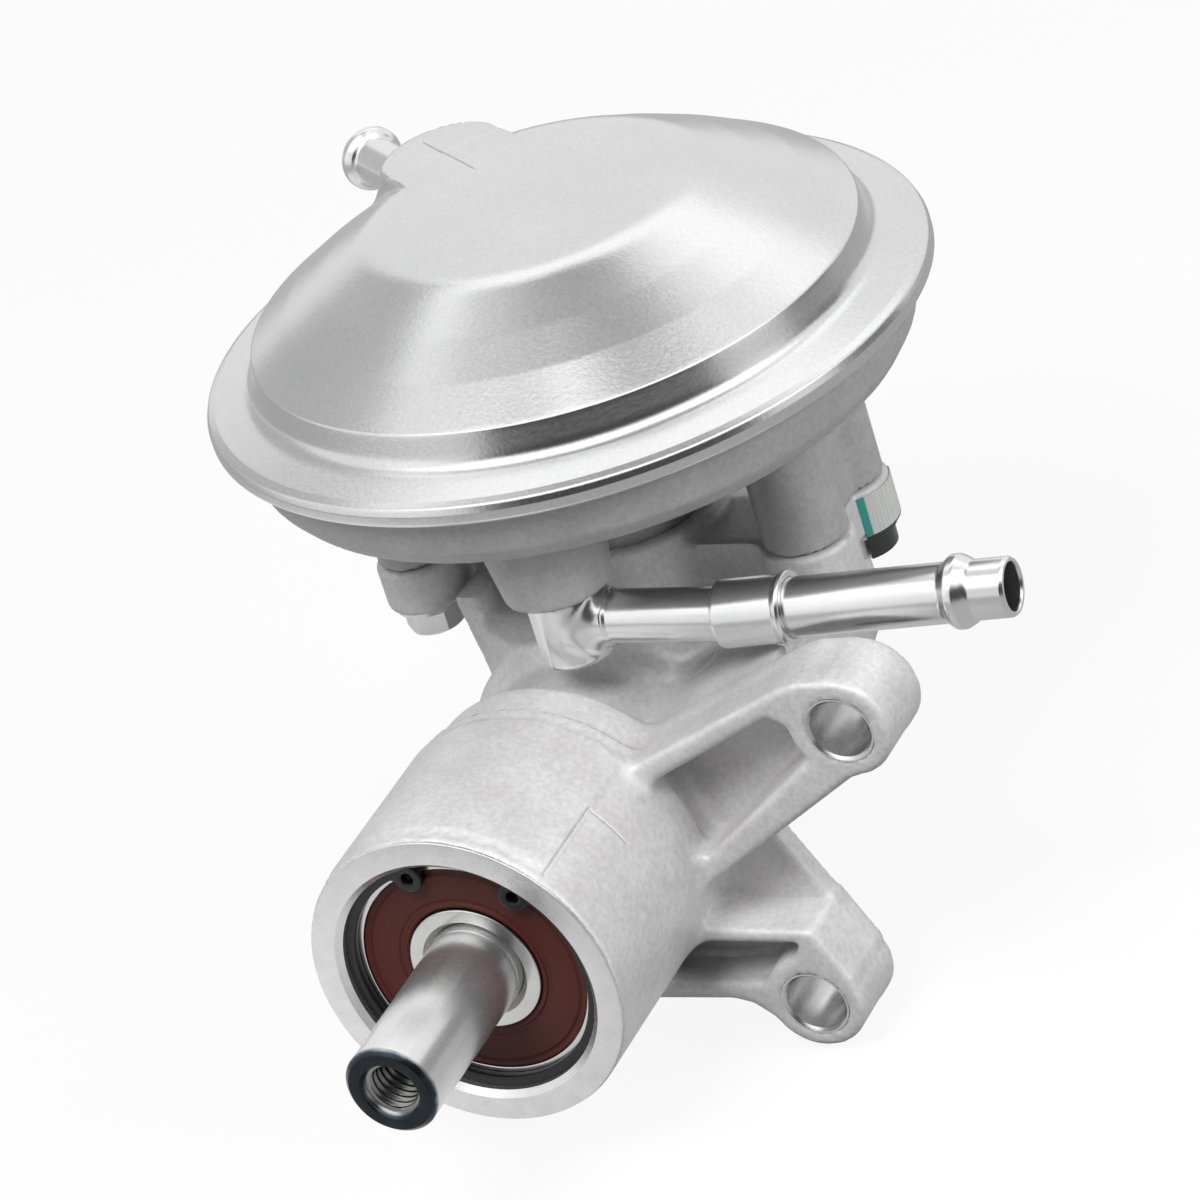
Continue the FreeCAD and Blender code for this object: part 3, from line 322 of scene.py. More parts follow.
cast_lower = cast_paint("cast_aluminium_lower", 0.68, 0.55, 9.0, True)
# Same cast finish as the housing, made darker: this is painted shade for the bowl and its bosses under the cover's
# overhanging rim.
cast_upper_painted_shade = cast_paint("cast_aluminium_upper", 0.46, 0.37, 12.0)
print("cast finishes:", cast_lower.name, cast_upper_painted_shade.name)

# %% [markdown]
# ## Machined aluminium
# The bearing's seat, the ring round it and the bolt holes are cut on a lathe after casting. The tool leaves
# fine rings, so the bump is a wave of the distance from the shaft's axis, and the metal is brighter than the skin.

# %% Machined paint
def machined_paint(name, centre_xz=(0.0, 0.0), value=0.82):
    paint = Paint(name, Metallic=0.95)
    x, y, z = paint.apart(paint.where())
    dx = x - centre_xz[0] * MM
    dz = z - centre_xz[1] * MM
    radius = (dx * dx + dz * dz).power(0.5)
    waver = paint.noise(6.0, 2.0)
    rings = paint.node("ShaderNodeMath", {"operation": "SINE"}, {0: radius * 16000.0 + waver * 5.0})
    smear = paint.noise(3.0, 3.0, 0.65)
    colour = paint.colour(smear, (0.3, grey(value * 0.88)), (0.7, grey(value)))
    return paint.finish(colour, paint.between(smear, 0.2, 0.36), rings * 0.5 + smear, 0.012, 0.6)


ring_cut = machined_paint("machined_ring")
print("machined finish:", ring_cut.name)

# %% [markdown]
# ## Zinc plated sheet and tube
# The cover is steel sheet with a thin zinc layer. Zinc takes the texture of the sheet: a fine orange peel that
# shows on the steep wall, and a speckle of small crystals that shows on the cone. The tubes have the same layer,
# brighter, because their steel is drawn and smooth.

# %% Zinc paints
def zinc_paint(name, value, rough_low, rough_high, peel_mm, peel_depth, speck):
    paint = Paint(name, Metallic=1.0)
    peel = paint.noise(peel_mm, 3.0, 0.6)
    specks = paint.noise(0.55, 2.0, 0.7)
    clouds = paint.noise(26.0, 3.0, 0.5)
    tint = specks * speck + clouds * (1 - speck)
    colour = paint.colour(tint, (0.3, grey(value * 0.86, -0.006)), (0.7, grey(value, 0.004)))
    rough = paint.between(specks * 0.5 + clouds * 0.5, rough_low, rough_high)
    return paint.finish(colour, rough, peel + specks * 0.35, peel_depth, 0.7)


cover_zinc = zinc_paint("zinc_sheet", 0.72, 0.19, 0.31, 0.9, 0.030, 0.6)
tube_zinc = zinc_paint("zinc_tube", 0.82, 0.17, 0.30, 2.2, 0.012, 0.3)
bolt_zinc = zinc_paint("zinc_bolt", 0.66, 0.28, 0.42, 0.9, 0.03, 0.5)
plate_zinc = zinc_paint("plate_steel", 0.62, 0.30, 0.45, 1.2, 0.02, 0.5)
print("zinc finishes ready")

# %% [markdown]
# ## Ground steel, rubber, plastic and black spring steel
# The shaft and the bearing rings are ground: bright, with hairlines round the axis. The shaft's end was
# hardened, which leaves a blue grey bloom. The bearing's seal is red brown rubber, and the circlip is blackened.

# %% Steel, rubber and plastic paints
def ground_paint(name, value, lines_per_mm, low=0.10, high=0.24, depth=0.006):
    paint = Paint(name, Metallic=1.0)
    x, y, z = paint.apart(paint.where())
    fine = paint.node("ShaderNodeTexNoise", {"noise_dimensions": "1D"},
                      {"W": y * (1000.0 * lines_per_mm), "Scale": 1.0, "Detail": 3.0})
    smear = paint.noise(5.0, 3.0, 0.6)
    colour = paint.colour(smear, (0.3, grey(value * 0.9, 0.01)), (0.7, grey(value, 0.005)))
    return paint.finish(colour, paint.between(fine * 0.6 + smear * 0.4, low, high), fine + smear * 0.3, depth, 0.6)


def soft_paint(name, shade, rough, grain_mm=0.8, depth=0.02, sheen=0.0):
    paint = Paint(name, Metallic=0.0, Sheen_Weight=sheen)
    patches = paint.noise(7.0, 3.0)
    grain = paint.noise(grain_mm, 2.0)
    darker = tuple(0.78 * c for c in shade)
    colour = paint.colour(patches * 0.6 + grain * 0.4, (0.3, darker), (0.7, shade))
    return paint.finish(colour, paint.between(patches, rough - 0.06, rough + 0.08), grain, depth, 0.5)


shaft_steel = ground_paint("ground_steel", 0.62, 4.0, 0.30, 0.44, 0.010)
race_steel = ground_paint("bearing_steel", 0.66, 2.0, 0.14, 0.26)
inner_steel = ground_paint("rod_steel", 0.50, 1.0, 0.25, 0.40)
seal_red = soft_paint("seal_rubber", (0.085, 0.016, 0.011), 0.50)
seal_red.node_tree.nodes["Principled BSDF"].inputs["Specular IOR Level"].default_value = 0.3
rubber = soft_paint("diaphragm_rubber", (0.030, 0.030, 0.031), 0.55)
valve_rubber = soft_paint("valve_rubber", (0.045, 0.044, 0.043), 0.45)
cage_plastic = soft_paint("cage_plastic", (0.10, 0.10, 0.085), 0.40)
clip_black = soft_paint("black_spring_steel", (0.006, 0.006, 0.0065), 0.34, 0.5, 0.01)
clip_black.node_tree.nodes["Principled BSDF"].inputs["Metallic"].default_value = 0.1
print("steel, rubber and plastic finishes ready")

# %% [markdown]
# ## Casting by distance
# The two castings are lumps that flow into each other: tube into drum, ribs into tube, bosses into bowl. Joining
# boxes and cylinders with fillets by hand leaves seams, so each lump is written as a distance: negative inside,
# zero on the skin. The smaller of two distances joins two lumps, and a softened smaller one gives the fillet.

# %% Distances
def smooth_min(a, b, k):
    """Smaller of two, less a quarter of k where they are equal, so the join is rounded over about k mm."""
    h = np.clip(0.5 + 0.5 * (b - a) / k, 0, 1)
    return b + (a - b) * h - k * h * (1 - h)


def smooth_max(a, b, k):
    """Larger of two with a rounded join: the smooth smaller of their opposites, turned back."""
    return -smooth_min(-a, -b, k)


def block(du, dv, rounding):
    """Distance to a rounded corner from the distances beyond its two sides."""
    du = du + rounding
    dv = dv + rounding
    return np.minimum(np.maximum(du, dv), 0) + np.hypot(np.maximum(du, 0), np.maximum(dv, 0)) - rounding


def along_y(p, radius, y0, y1, rounding=0.6, x=0.0, z=0.0):
    """Cylinder along Y: how far outside the radius, and how far beyond the ends."""
    return block(np.hypot(p[0] - x, p[2] - z) - radius, np.abs(p[1] - (y0 + y1) / 2) - (y1 - y0) / 2, rounding)


def along_z(p, radius, z0, z1, rounding=0.6, x=0.0, y=96.5):
    """Cylinder along Z."""
    return block(np.hypot(p[0] - x, p[1] - y) - radius, np.abs(p[2] - (z0 + z1) / 2) - (z1 - z0) / 2, rounding)


def outline_distance(u, v, corners):
    """Distance to a polygon: the nearest edge's distance, negative where a ray crosses an odd number of edges."""
    best = np.full(u.shape, 1e9)
    inside = np.zeros(u.shape, bool)
    for (au, av), (bu, bv) in zip(corners, corners[1:] + corners[:1]):
        eu, ev = bu - au, bv - av
        wu, wv = u - au, v - av
        t = np.clip((wu * eu + wv * ev) / (eu * eu + ev * ev), 0, 1)
        best = np.minimum(best, (wu - eu * t) ** 2 + (wv - ev * t) ** 2)
        crosses = (av > v) != (bv > v)
        with np.errstate(divide="ignore", invalid="ignore"):
            inside ^= crosses & (u < (bu - au) * (v - av) / (bv - av if bv != av else 1e-9) + au)
    return np.where(inside, -1, 1) * np.sqrt(best)


def carry(flat, along, start, end, rounding):
    """A flat outline's distance carried from start to end with rounded edges."""
    return block(flat, np.abs(along - (start + end) / 2) - (end - start) / 2, rounding)


def disc(u, v, place, radius):
    """Distance to a circle in a plane."""
    return np.hypot(u - place[0], v - place[1]) - radius


# %% [markdown]
# ## From a distance to a skin
# A grid of distances becomes a mesh by surface nets: one point in each cell that the skin crosses, and one face
# round each grid edge that it crosses. The points then slide down the slope of the distance, which puts them on
# the skin itself, so the mesh is smoother than its grid.

# %% Surface nets
def skin(distance, low, high, cell):
    """Points are the mean of the crossings on a cell's edges, moved by minus distance times slope, four times."""
    low = np.array(low, float)
    counts = np.ceil((np.array(high) - low) / cell).astype(int) + 1
    lines = [low[i] + cell * np.arange(counts[i]) for i in range(3)]
    d = distance(np.meshgrid(*lines, indexing="ij"))
    cells = counts - 1
    total = np.zeros((cells.prod(), 3))
    hits = np.zeros(cells.prod())
    crossings = []
    for axis in range(3):
        a = np.take(d, np.arange(counts[axis] - 1), axis)
        b = np.take(d, np.arange(1, counts[axis]), axis)
        edge = np.argwhere((a < 0) != (b < 0))
        da, db = a[tuple(edge.T)], b[tuple(edge.T)]
        place = edge.astype(float)
        place[:, axis] += da / (da - db)
        crossings.append((edge, da < 0))
        u, v = np.eye(3, dtype=int)[(axis + 1) % 3], np.eye(3, dtype=int)[(axis + 2) % 3]
        for shift in (0 * u, u, v, u + v):
            cell_at = edge - shift
            good = ((cell_at >= 0) & (cell_at < cells)).all(1)
            flat = np.ravel_multi_index(tuple(cell_at[good].T), cells)
            np.add.at(total, flat, place[good])
            np.add.at(hits, flat, 1)
    used = hits > 0
    number = np.full(len(hits), -1)
    number[used] = np.arange(used.sum())
    points = low + cell * total[used] / hits[used][:, None]
    faces = []
    for axis, (edge, first_inside) in enumerate(crossings):
        u, v = np.eye(3, dtype=int)[(axis + 1) % 3], np.eye(3, dtype=int)[(axis + 2) % 3]
        corners = [edge, edge - u, edge - u - v, edge - v]
        good = np.all([((c >= 0) & (c < cells)).all(1) for c in corners], 0)
        quad = np.stack([number[np.ravel_multi_index(tuple(c[good].T), cells)] for c in corners], 1)
        quad[~first_inside[good]] = quad[~first_inside[good]][:, ::-1]
        faces.append(quad)
    for _ in range(4):
        step = 0.05
        value = distance(points.T)
        slope = np.stack([(distance((points + step * e).T) - distance((points - step * e).T)) / (2 * step)
                          for e in np.eye(3)], 1)
        move = -value[:, None] * slope / np.maximum((slope ** 2).sum(1), 0.2)[:, None]
        length = np.linalg.norm(move, axis=1, keepdims=True)
        points = points + move * np.minimum(1, 0.5 * cell / np.maximum(length, 1e-9))
    return points, np.concatenate(faces)


print("casting tools ready")

# %% [markdown]
# ## The bearing housing
# This is the lower casting. A tube holds the two bearings, a drum holds the crank, a flange with two lugs carries
# the bolts, and two ribbed ears take the engine's bolts. Its outlines are the sizes of the solid. The mouth and
# the holes are cut wider here, because lathe cut inserts follow for them.

# %% Housing distance
PUMP_Y = 96.5
EAR_FRONT, EAR_WEB, EAR_BACK = 36.0, 46.2, 51.0
UPPER_EAR, LOWER_EAR = (64.2, 27.2), (43.8, -29.9)
BOLTS = ((-38.9, PUMP_Y - 11.2), (38.9, PUMP_Y + 11.2))
TALL_BOSS = (39.1, PUMP_Y - 8.4)


def rib_z(x):
    """Height of the upper ear's top line."""
    return 20.2 + 0.486 * (x - 23.1)


def ears(p):
    """Two ear plates and the web between them, drawn flat and carried along Y, less their cast pockets."""
    x, y, z = p
    top = UPPER_EAR[1] + 9.35
    knee = 23.1 + (top - 20.2) / 0.486
    upper = outline_distance(x, z, [(8, rib_z(8)), (knee - 2.2, top - 1.1), (knee + 1.4, top), (64.2, top),
                                    (66.9, 19.5), (29, -5.9), (8, -5.9)])
    upper = smooth_min(upper, disc(x, z, UPPER_EAR, 9.35), 0.8)
    lower = outline_distance(x, z, [(8, -14.1), (47, -14.7), (52.1, -25.3), (43.8, -38.8), (34.5, -32.6),
                                    (31.5, -30.2), (28, -29.3), (8, -29.6)])
    lower = smooth_min(lower, disc(x, z, LOWER_EAR, 9.15), 0.8)
    web = outline_distance(x, z, [(10, 1), (38.9, 1.2), (52.1, -25.3), (44, -20), (10, -20)])
    fronts = carry(smooth_min(upper, lower, 1.5), y, EAR_FRONT, EAR_BACK, 0.9)
    backs = carry(smooth_min(smooth_min(upper, lower, 1.5), web, 1.0), y, EAR_WEB, EAR_BACK, 0.9)
    plate = smooth_min(fronts, backs, 0.6)
    hollow = outline_distance(x, z, [(18, rib_z(18) - 5.0), (51.0, 29.6), (55.2, 27.4), (58.2, 22.6), (31.5, 0.9),
                                     (18, 0.9)]) + 0.6
    hollow = smooth_max(hollow - 0.6, 0.4 - disc(x, z, UPPER_EAR, 9.35), 1.2)
    slot = outline_distance(x, z, [(13, -16.9), (43.8, -17.3), (42.6, -20.2), (36.6, -25.8), (13, -26.2)])
    slot = smooth_max(slot, 0.3 - disc(x, z, LOWER_EAR, 9.15), 1.2)
    cut = carry(np.minimum(hollow, slot), y, EAR_FRONT - 9, EAR_WEB, 0.8)
    return smooth_max(plate, -cut, 1.2)


def gussets(p):
    """Ribs behind the ears that run back to the drum, each a sloping plate cut by a slanting outline in plan."""
    reach = outline_distance(p[0], p[1], [(4, 43), (47, 46), (47, 56.5), (40, 63), (30, 71), (27, 76), (4, 76)])
    over = (p[2] - rib_z(p[0])) / 1.11
    upper = block(reach, np.abs(over + 2.4) - 2.4, 0.9)
    lower = block(reach, np.abs(p[2] + 27.0) - 2.3, 0.9)
    return np.minimum(upper, lower)


def flange(p):
    """Neck ring, two arms and the bolt lugs, drawn flat and carried along Z."""
    x, y, z = p
    flat = outline_distance(x, y, [(6, 86), (36, 86), (36, 103), (6, 103)])
    flat = np.minimum(flat, outline_distance(x, y, [(-6, 90), (-36, 90), (-36, 107), (-6, 107)]))
    for place, radius in ((BOLTS[0], 7.7), (BOLTS[1], 7.7), (TALL_BOSS, 8.6)):
        flat = smooth_min(flat, disc(x, y, place, radius), 2.5)
    flat = smooth_min(flat, outline_distance(x, y, [(35, 88), (43, 88), (43, 108), (35, 108)]), 0.6)
    return smooth_min(carry(flat, z, 25, 33.9, 0.9), along_z(p, 18.3, 20, 36.4, 0.8), 2.0)


def housing(p):
    """Lower casting: lumps joined from the largest to the smallest, then the bores taken out."""
    tube = along_y(p, 29.35, 0.3, 41.0, 0.5)
    turn = np.degrees(np.arctan2(p[2], p[0]))
    pad = smooth_max(along_y(p, 29.75, 3.6, 37.5, 0.3), 0.5 * (45.5 - turn), 0.3)
    pad = smooth_max(pad, 0.5 * (turn - 150.0), 0.3)
    tube = smooth_min(tube, pad, 0.25)
    tube = np.minimum(tube, along_y(p, 28.2, 20, 50.5, 2.4))
    tube = smooth_min(tube, along_y(p, 23.5, 40, 74), 2.0)
    draft = 0.055 * np.clip(25 - p[2], 0, 31)
    drum = block(disc(p[0], p[1], (0, PUMP_Y), 32.0) + draft, np.abs(p[2] - 9.5) - 15.5, 1.5)
    drum = smooth_min(drum, along_y(p, 27.4, 66, 130, 1.5), 3.0)
    panel = outline_distance(p[0], p[2], [(-29.2, 29.0), (-25.2, 4), (-4, 4), (-4, 29.0)])
    well = outline_distance(p[0], p[2], [(-24.4, 33), (-23.4, 24), (-20.5, 19.3), (-12, 19.3), (-12, 33)])
    panel = smooth_max(carry(panel, p[1], 77.5, 96, 0.8), -carry(well, p[1], 70, 85.5, 0.8), 1.5)
    lump = smooth_min(smooth_min(tube, drum, 4.0), panel, 1.6)
    lump = smooth_min(lump, flange(p), 2.2)
    lump = smooth_min(lump, np.minimum(ears(p), gussets(p)), 2.8)
    for radius, y0, y1 in ((24.9, -5, 18), (20.5, 15, 52), (17.8, 50, 60), (20.02, 56, 90), (24.2, 69.5, 121.5),
                           (23.1, 110, 140)):
        lump = np.maximum(lump, -along_y(p, radius, y0, y1, 0.0))
    lump = np.maximum(lump, -along_z(p, 28.5, -2.5, 21.5, 0.5))
    lump = np.maximum(lump, -along_z(p, 15.6, 10, 45, 0.0))
    for x, z in (UPPER_EAR, LOWER_EAR):
        lump = np.maximum(lump, -along_y(p, 6.05, 0, 90, 0.0, x, z))
    for x, y in BOLTS:
        lump = np.maximum(lump, -along_z(p, 3.4, 0, 50, 0.0, x, y))
    return lump


points, faces = skin(housing, (-48, -1.5, -41), (76, 132, 39), 0.95)
piece("bearing_housing_casting", points, faces, "pump_frame", cast_lower, ["bearing_housing"],
      "cast_aluminium_lower", 55.0)

# %% [markdown]
# The inserts are the surfaces that a cutting tool made: the ring face round the bearing with its bore and the
# circlip's groove, the two ear holes with their small chamfers, and the rear bore's rim. Each is a turned profile
# that sits in the casting's wider hole, so its edges stay crisp.

# %% Machined inserts
ring_corners = [(29.12, 0.0, 0.25), (24.6, 0.0, 0), (23.52, 1.1, 0), (23.52, 2.2, 0), (24.6, 2.2, 0), (24.6, 4.0, 0),
                (23.52, 4.0, 0), (23.52, 18.0, 0), (25.2, 18.0, 0), (25.2, 5.0, 0), (28.9, 1.2, 0), (29.12, 0.6, 0)]
lathe("housing_ring_cut", ring_corners, (0, 0, 0), (0, 1, 0), "pump_frame", ring_cut, 192, 4,
      slot="cast_aluminium_lower", sharp_deg=25.0)
for label, (x, z) in (("upper", UPPER_EAR), ("lower", LOWER_EAR)):
    hole_cut = machined_paint(f"machined_{label}_ear", (x, z), 0.64)
    hole = [(6.35, EAR_FRONT - 0.04, 0.0), (6.0, EAR_FRONT - 0.04, 0.05), (5.5, EAR_FRONT + 0.5, 0.1),
            (5.5, EAR_BACK - 0.5, 0.1), (6.0, EAR_BACK + 0.04, 0.05), (6.35, EAR_BACK + 0.04, 0), (6.35, 44, 0)]
    lathe(f"{label}_ear_hole", hole, (x, 0, z), (0, 1, 0), "pump_frame", hole_cut, 96, 3, slot="cast_aluminium_lower",
          sharp_deg=25.0)
lathe("rear_bore_rim", [(24.6, 129.9, 0.2), (23.4, 129.98, 0.1), (22.8, 129.4, 0), (22.8, 121.4, 0), (24.0, 121.4, 0)],
      (0, 0, 0), (0, 1, 0), "pump_frame", ring_cut, 128, 3, slot="cast_aluminium_lower", sharp_deg=25.0)

# %% [markdown]
# A pin that pushes the casting out of its die leaves a round witness line on the sloping rib. It is a thin raised
# ring, turned about the rib's own slope.

# %% Ejector pin's ring
lathe("ejector_ring", [(3.3, -0.3, 0), (3.3, 0.1, 0.08), (3.75, 0.1, 0.08), (3.75, -0.3, 0)],
      (21.9, 68.5, rib_z(21.9)), (-0.437, 0, 0.8995), "pump_frame", cast_lower, 64, 3, slot="cast_aluminium_lower",
      sharp_deg=60.0)

# %% [markdown]
# ## The pump body
# The upper casting is a shallow bowl under the cover. Bosses hang from it for the bolts, the inlet and a tall
# locating post, and its neck plugs into the drum. It is cast like the housing, so it is made the same way.

# %% Body distance
BOWL = [(10.8, 62.0), (10.8, 28.1), (15.4, 28.1), (15.4, 58.5), (50.5, 58.5), (55.0, 59.3), (58.6, 61.0), (60.9, 64.0),
        (63.5, 73.55), (65.3, 73.55), (65.3, 74.75), (60.0, 74.75), (57.4, 66.2), (55.6, 63.4), (52.0, 62.0)]
INLET = (6.2, 57.2)


def body(p):
    """Upper casting: the bowl's profile by distance in (radius, height), then the bosses, then the bores."""
    radius = np.hypot(p[0], p[1] - PUMP_Y)
    bowl = outline_distance(radius, p[2], BOWL)
    cone = np.hypot(p[0] - INLET[0], p[1] - INLET[1]) - (9.7 + 2.6 * np.clip((p[2] - 44) / 17, 0, 1))
    boss = block(cone, np.abs(p[2] - 52.5) - 8.5, 0.5)
    flat = outline_distance(p[0], p[1], [(35, 88), (42.9, 88), (42.9, 108), (35, 108)])
    for place, size in ((BOLTS[0], 7.0), (BOLTS[1], 7.0), (TALL_BOSS, 7.8)):
        flat = smooth_min(flat, disc(p[0], p[1], place, size), 1.6)
    whole = smooth_min(smooth_min(bowl, boss, 1.6), carry(flat, p[2], 34.1, 61, 0.6), 2.4)
    keep_rim = np.maximum(radius - 65.3, p[2] - 74.75)
    whole = np.maximum(whole, keep_rim)
    whole = np.maximum(whole, -along_z(p, 5.55, 40, 70, 0.0, *INLET))
    for x, y in BOLTS:
        whole = np.maximum(whole, -along_z(p, 3.1, 30, 49, 0.0, x, y))
    inside = np.maximum(radius - 52, 62.0 - p[2])
    return np.maximum(whole, -inside)


points, faces = skin(body, (-66.5, 30, 27), (66.5, 163, 75.5), 1.0)
# The body's paint is the darker copy of the cast finish, which carries painted shade.
piece("pump_body_casting", points, faces, "pump_frame", cast_upper_painted_shade, ["pump_body"], "cast_aluminium_upper", 50.0)

# %% [markdown]
# ## The chamber cover
# A press draws the cover from one sheet: a flat top, a cone, a steep wall and a flange whose edge is rolled under
# the bowl's rim. A raised lobe runs out to the outlet. A polar grid suits it: the dressed profile goes round the
# axis, and the lobe only lifts the points under it. Columns are closer together where the lobe is.

# %% Cover surface
LOBE_TURN = math.radians(144.0)
DOME_TOP = 99.9


def lobe_height(x, y, inset=0.0):
    """Flat top with flanks: top height less a slope times the scaled distance outside the lobe's outline."""
    along = x * math.cos(LOBE_TURN) + (y - PUMP_Y) * math.sin(LOBE_TURN)
    side = np.abs(-x * math.sin(LOBE_TURN) + (y - PUMP_Y) * math.cos(LOBE_TURN))
    end = np.maximum(along - 33.0, 0) / (10.5 - inset)
    out = np.hypot(end * (11.2 - inset), side)
    ahead = np.clip((along - 33) / np.maximum(np.hypot(along - 33, side), 1e-6), 0, 1)
    flank = np.where(along > 33, 3.6 + 7.5 * ahead, 3.6)
    drop = np.maximum(out - (11.2 - inset), 0) / flank * 17.4
    top = np.full_like(drop, DOME_TOP - inset)
    return np.where(along > 0, smooth_min(top, DOME_TOP - inset + 0.6 - drop, 1.8), -50.0)


def cover_profile(inset):
    """Corners from the top's centre to the rolled lip; inset moves the sheet's inner side inwards."""
    t = inset
    return rounded([
        (0.02, DOME_TOP - t, 0), (29.2, DOME_TOP - t, 14 - t), (40.0 - 0.5 * t, 94.35 - 0.87 * t, 28 - t),
        (47.5 - 0.5 * t, 90.1 - 0.87 * t, 14 - t),
        (55.6 - 0.85 * t, 84.85 - 0.64 * t, 0.9 - 0.5 * t), (57.3 - 0.79 * t, 79.0 - 0.83 * t, 3.4 + t),
        (64.75, 77.1 - t, 0.8), (66.1 - 0.9 * t, 76.45 - t, 1.0), (66.6 - t, 75.2 - t, 0.8), (66.6 - t, 73.4 + 0.2 * t, 0.9 - 0.5 * t),
        (65.3 - t, 72.42 + t, 0.5), (63.7, 72.4 + 0.95 * t, 0)], 7, closed=False)


def densify(line, step):
    """Polyline with points no farther apart than a step."""
    out = [line[0]]
    for a, b in zip(line, line[1:]):
        n = max(1, int(math.ceil(np.linalg.norm(b - a) / step)))
        out += [a + (b - a) * (i + 1) / n for i in range(n)]
    return np.array(out)


SHEET = 1.15
outer = densify(cover_profile(0.0), 0.9)
inner = densify(cover_profile(SHEET), 2.5)
near = np.linspace(-0.62, 0.62, 170)
far = np.linspace(0.62, 2 * math.pi - 0.62, 150)[1:-1]
turns = LOBE_TURN + np.concatenate([near, far])


def lifted(profile, inset):
    """Profile round the axis, its height raised to the lobe's where that is higher."""
    x = profile[:, 0][:, None] * np.cos(turns)
    y = PUMP_Y + profile[:, 0][:, None] * np.sin(turns)
    z = np.repeat(profile[:, 1][:, None], len(turns), 1)
    open_part = profile[:, 0][:, None] < 57.6
    raised = smooth_max(z, lobe_height(x, y, inset), 2.2)
    raised = np.minimum(raised, np.maximum(z, DOME_TOP - inset))
    z = np.where(open_part & (profile[:, 1][:, None] > 80.6 - inset), raised, z)
    return np.stack([x, y, z], -1)


def cover_height(x, y):
    """Height of the cover's outer side: the profile's height at that radius, or the lobe's where that is higher."""
    z = np.interp(np.hypot(x, y - PUMP_Y), outer[:, 0], outer[:, 1])
    return np.minimum(smooth_max(z, lobe_height(x, y), 2.2), np.maximum(z, DOME_TOP))


shell = np.concatenate([lifted(outer, 0.0), lifted(inner, SHEET)[::-1]])
faces = grid_faces(len(shell), len(turns), close_rows=True)
points = shell.reshape(-1, 3)
piece("chamber_cover_pressing", points, outwards(points, faces), "pump_frame", cover_zinc, ["chamber_cover"],
      "zinc_sheet", 40.0)

# %% [markdown]
# The press also leaves a raised line on the lobe: a ridge with a half round section, laid on the lobe's real height.

# %% Lobe line
def ridge(start, end, width, height):
    """A half ellipse carried along a line, narrowed to nothing at both ends over half its width."""
    start, end = np.array(start, float), np.array(end, float)
    length = np.linalg.norm(end - start)
    d = (end - start) / length
    s = width / 2 * np.array([-1, -0.92, -0.7, -0.35, 0, 0, 0, 0.35, 0.7, 0.92, 1])
    middle = np.linspace(width / 2, length - width / 2, 5)[1:-1]
    t = np.concatenate([s[:5] + width / 2, middle, length + s[6:] - width / 2])
    near_end = np.maximum(np.maximum(width / 2 - t, t - length + width / 2), 0)
    shrink = np.sqrt(np.clip(1 - (near_end / (width / 2)) ** 2, 0, 1))
    across = np.linspace(0, math.pi, 9)
    rows = []
    for at, share in zip(t, shrink):
        side = np.cos(across) * width / 2 * max(share, 0.02)
        up = np.sin(across) * height * max(share, 0.02) - 0.05
        rows.append(np.stack([start[0] + d[0] * at - d[1] * side, start[1] + d[1] * at + d[0] * side, up], -1))
    return np.array(rows)


ends = [(along * math.cos(LOBE_TURN), PUMP_Y + along * math.sin(LOBE_TURN)) for along in (19.5, 40.0)]
rows = ridge(*ends, 0.75, 0.24)
rows[..., 2] += cover_height(rows[..., 0], rows[..., 1])
piece("cover_flow_marks", rows, grid_faces(*rows.shape[:2]), "pump_frame", cover_zinc, slot="zinc_sheet", sharp_deg=60.0)

# %% [markdown]
# ## Tubes and the inlet plug
# Zinc plated tubes are turned profiles with the small things that give them away: the plug's flat, the brazed
# fillet where the stub leaves it, the sleeve's rolled lip, the bead that holds the hose and the open end.

# %% Inlet plug
HOSE_Z = 37.5


def plug(p):
    """Upright cylinder joined softly to a collar along X, with a low ring of braze round it and one milled flat."""
    upright = along_z(p, 7.0, 30.2, 43.95, 1.2, *INLET)
    collar = block(np.hypot(p[1] - INLET[1], p[2] - HOSE_Z) - 5.1, np.abs(p[0] - INLET[0] - 5.5) - 3.6, 0.5)
    whole = smooth_min(upright, collar, 3.0) - 0.22 * np.exp(-((collar - 1.7) / 0.4) ** 2)
    flat = (p[0] - INLET[0]) * math.cos(math.radians(-136)) + (p[1] - INLET[1]) * math.sin(math.radians(-136)) - 6.15
    return smooth_max(whole, flat, 0.25)


points, faces = skin(plug, (-1.6, 49.6, 29.4), (17, 64.9, 44.9), 0.4)
piece("inlet_plug", points, faces, "pump_frame", tube_zinc, ["inlet_fitting"], "zinc_tube", 40.0)

# %% Stub, sleeve, hose tube and nipple
yaw, pitch = math.radians(4.2), math.radians(2.1)
JOINT = (36.3, INLET[1], HOSE_Z)
HOSE_WAY = (math.cos(pitch) * math.cos(yaw), math.cos(pitch) * math.sin(yaw), math.sin(pitch))
lathe("inlet_stub", [(4.85, 4.2, 0), (5.05, 4.2, 0.0), (5.05, 9.0, 0.3), (4.85, 9.6, 0.4), (4.85, 33.4, 0.2),
                     (3.75, 33.4, 0.2), (3.75, 4.2, 0)],
      (INLET[0], INLET[1], HOSE_Z), (1, 0, 0), "pump_frame", tube_zinc, 96, stands_for=["inlet_stub_tube"],
      slot="zinc_tube", sharp_deg=30.0)
lathe("inlet_sleeve_tube", [(5.32, 0.1, 0), (5.9, 0.0, 0.3), (6.07, 0.7, 0.3), (6.07, 11.6, 0.5), (6.45, 12.1, 0.4),
                            (6.72, 12.7, 0.35), (6.45, 13.35, 0.4), (5.32, 13.4, 0.2)],
      JOINT, HOSE_WAY, "pump_frame", tube_zinc, 128, stands_for=["inlet_sleeve"], slot="zinc_tube", sharp_deg=40.0)
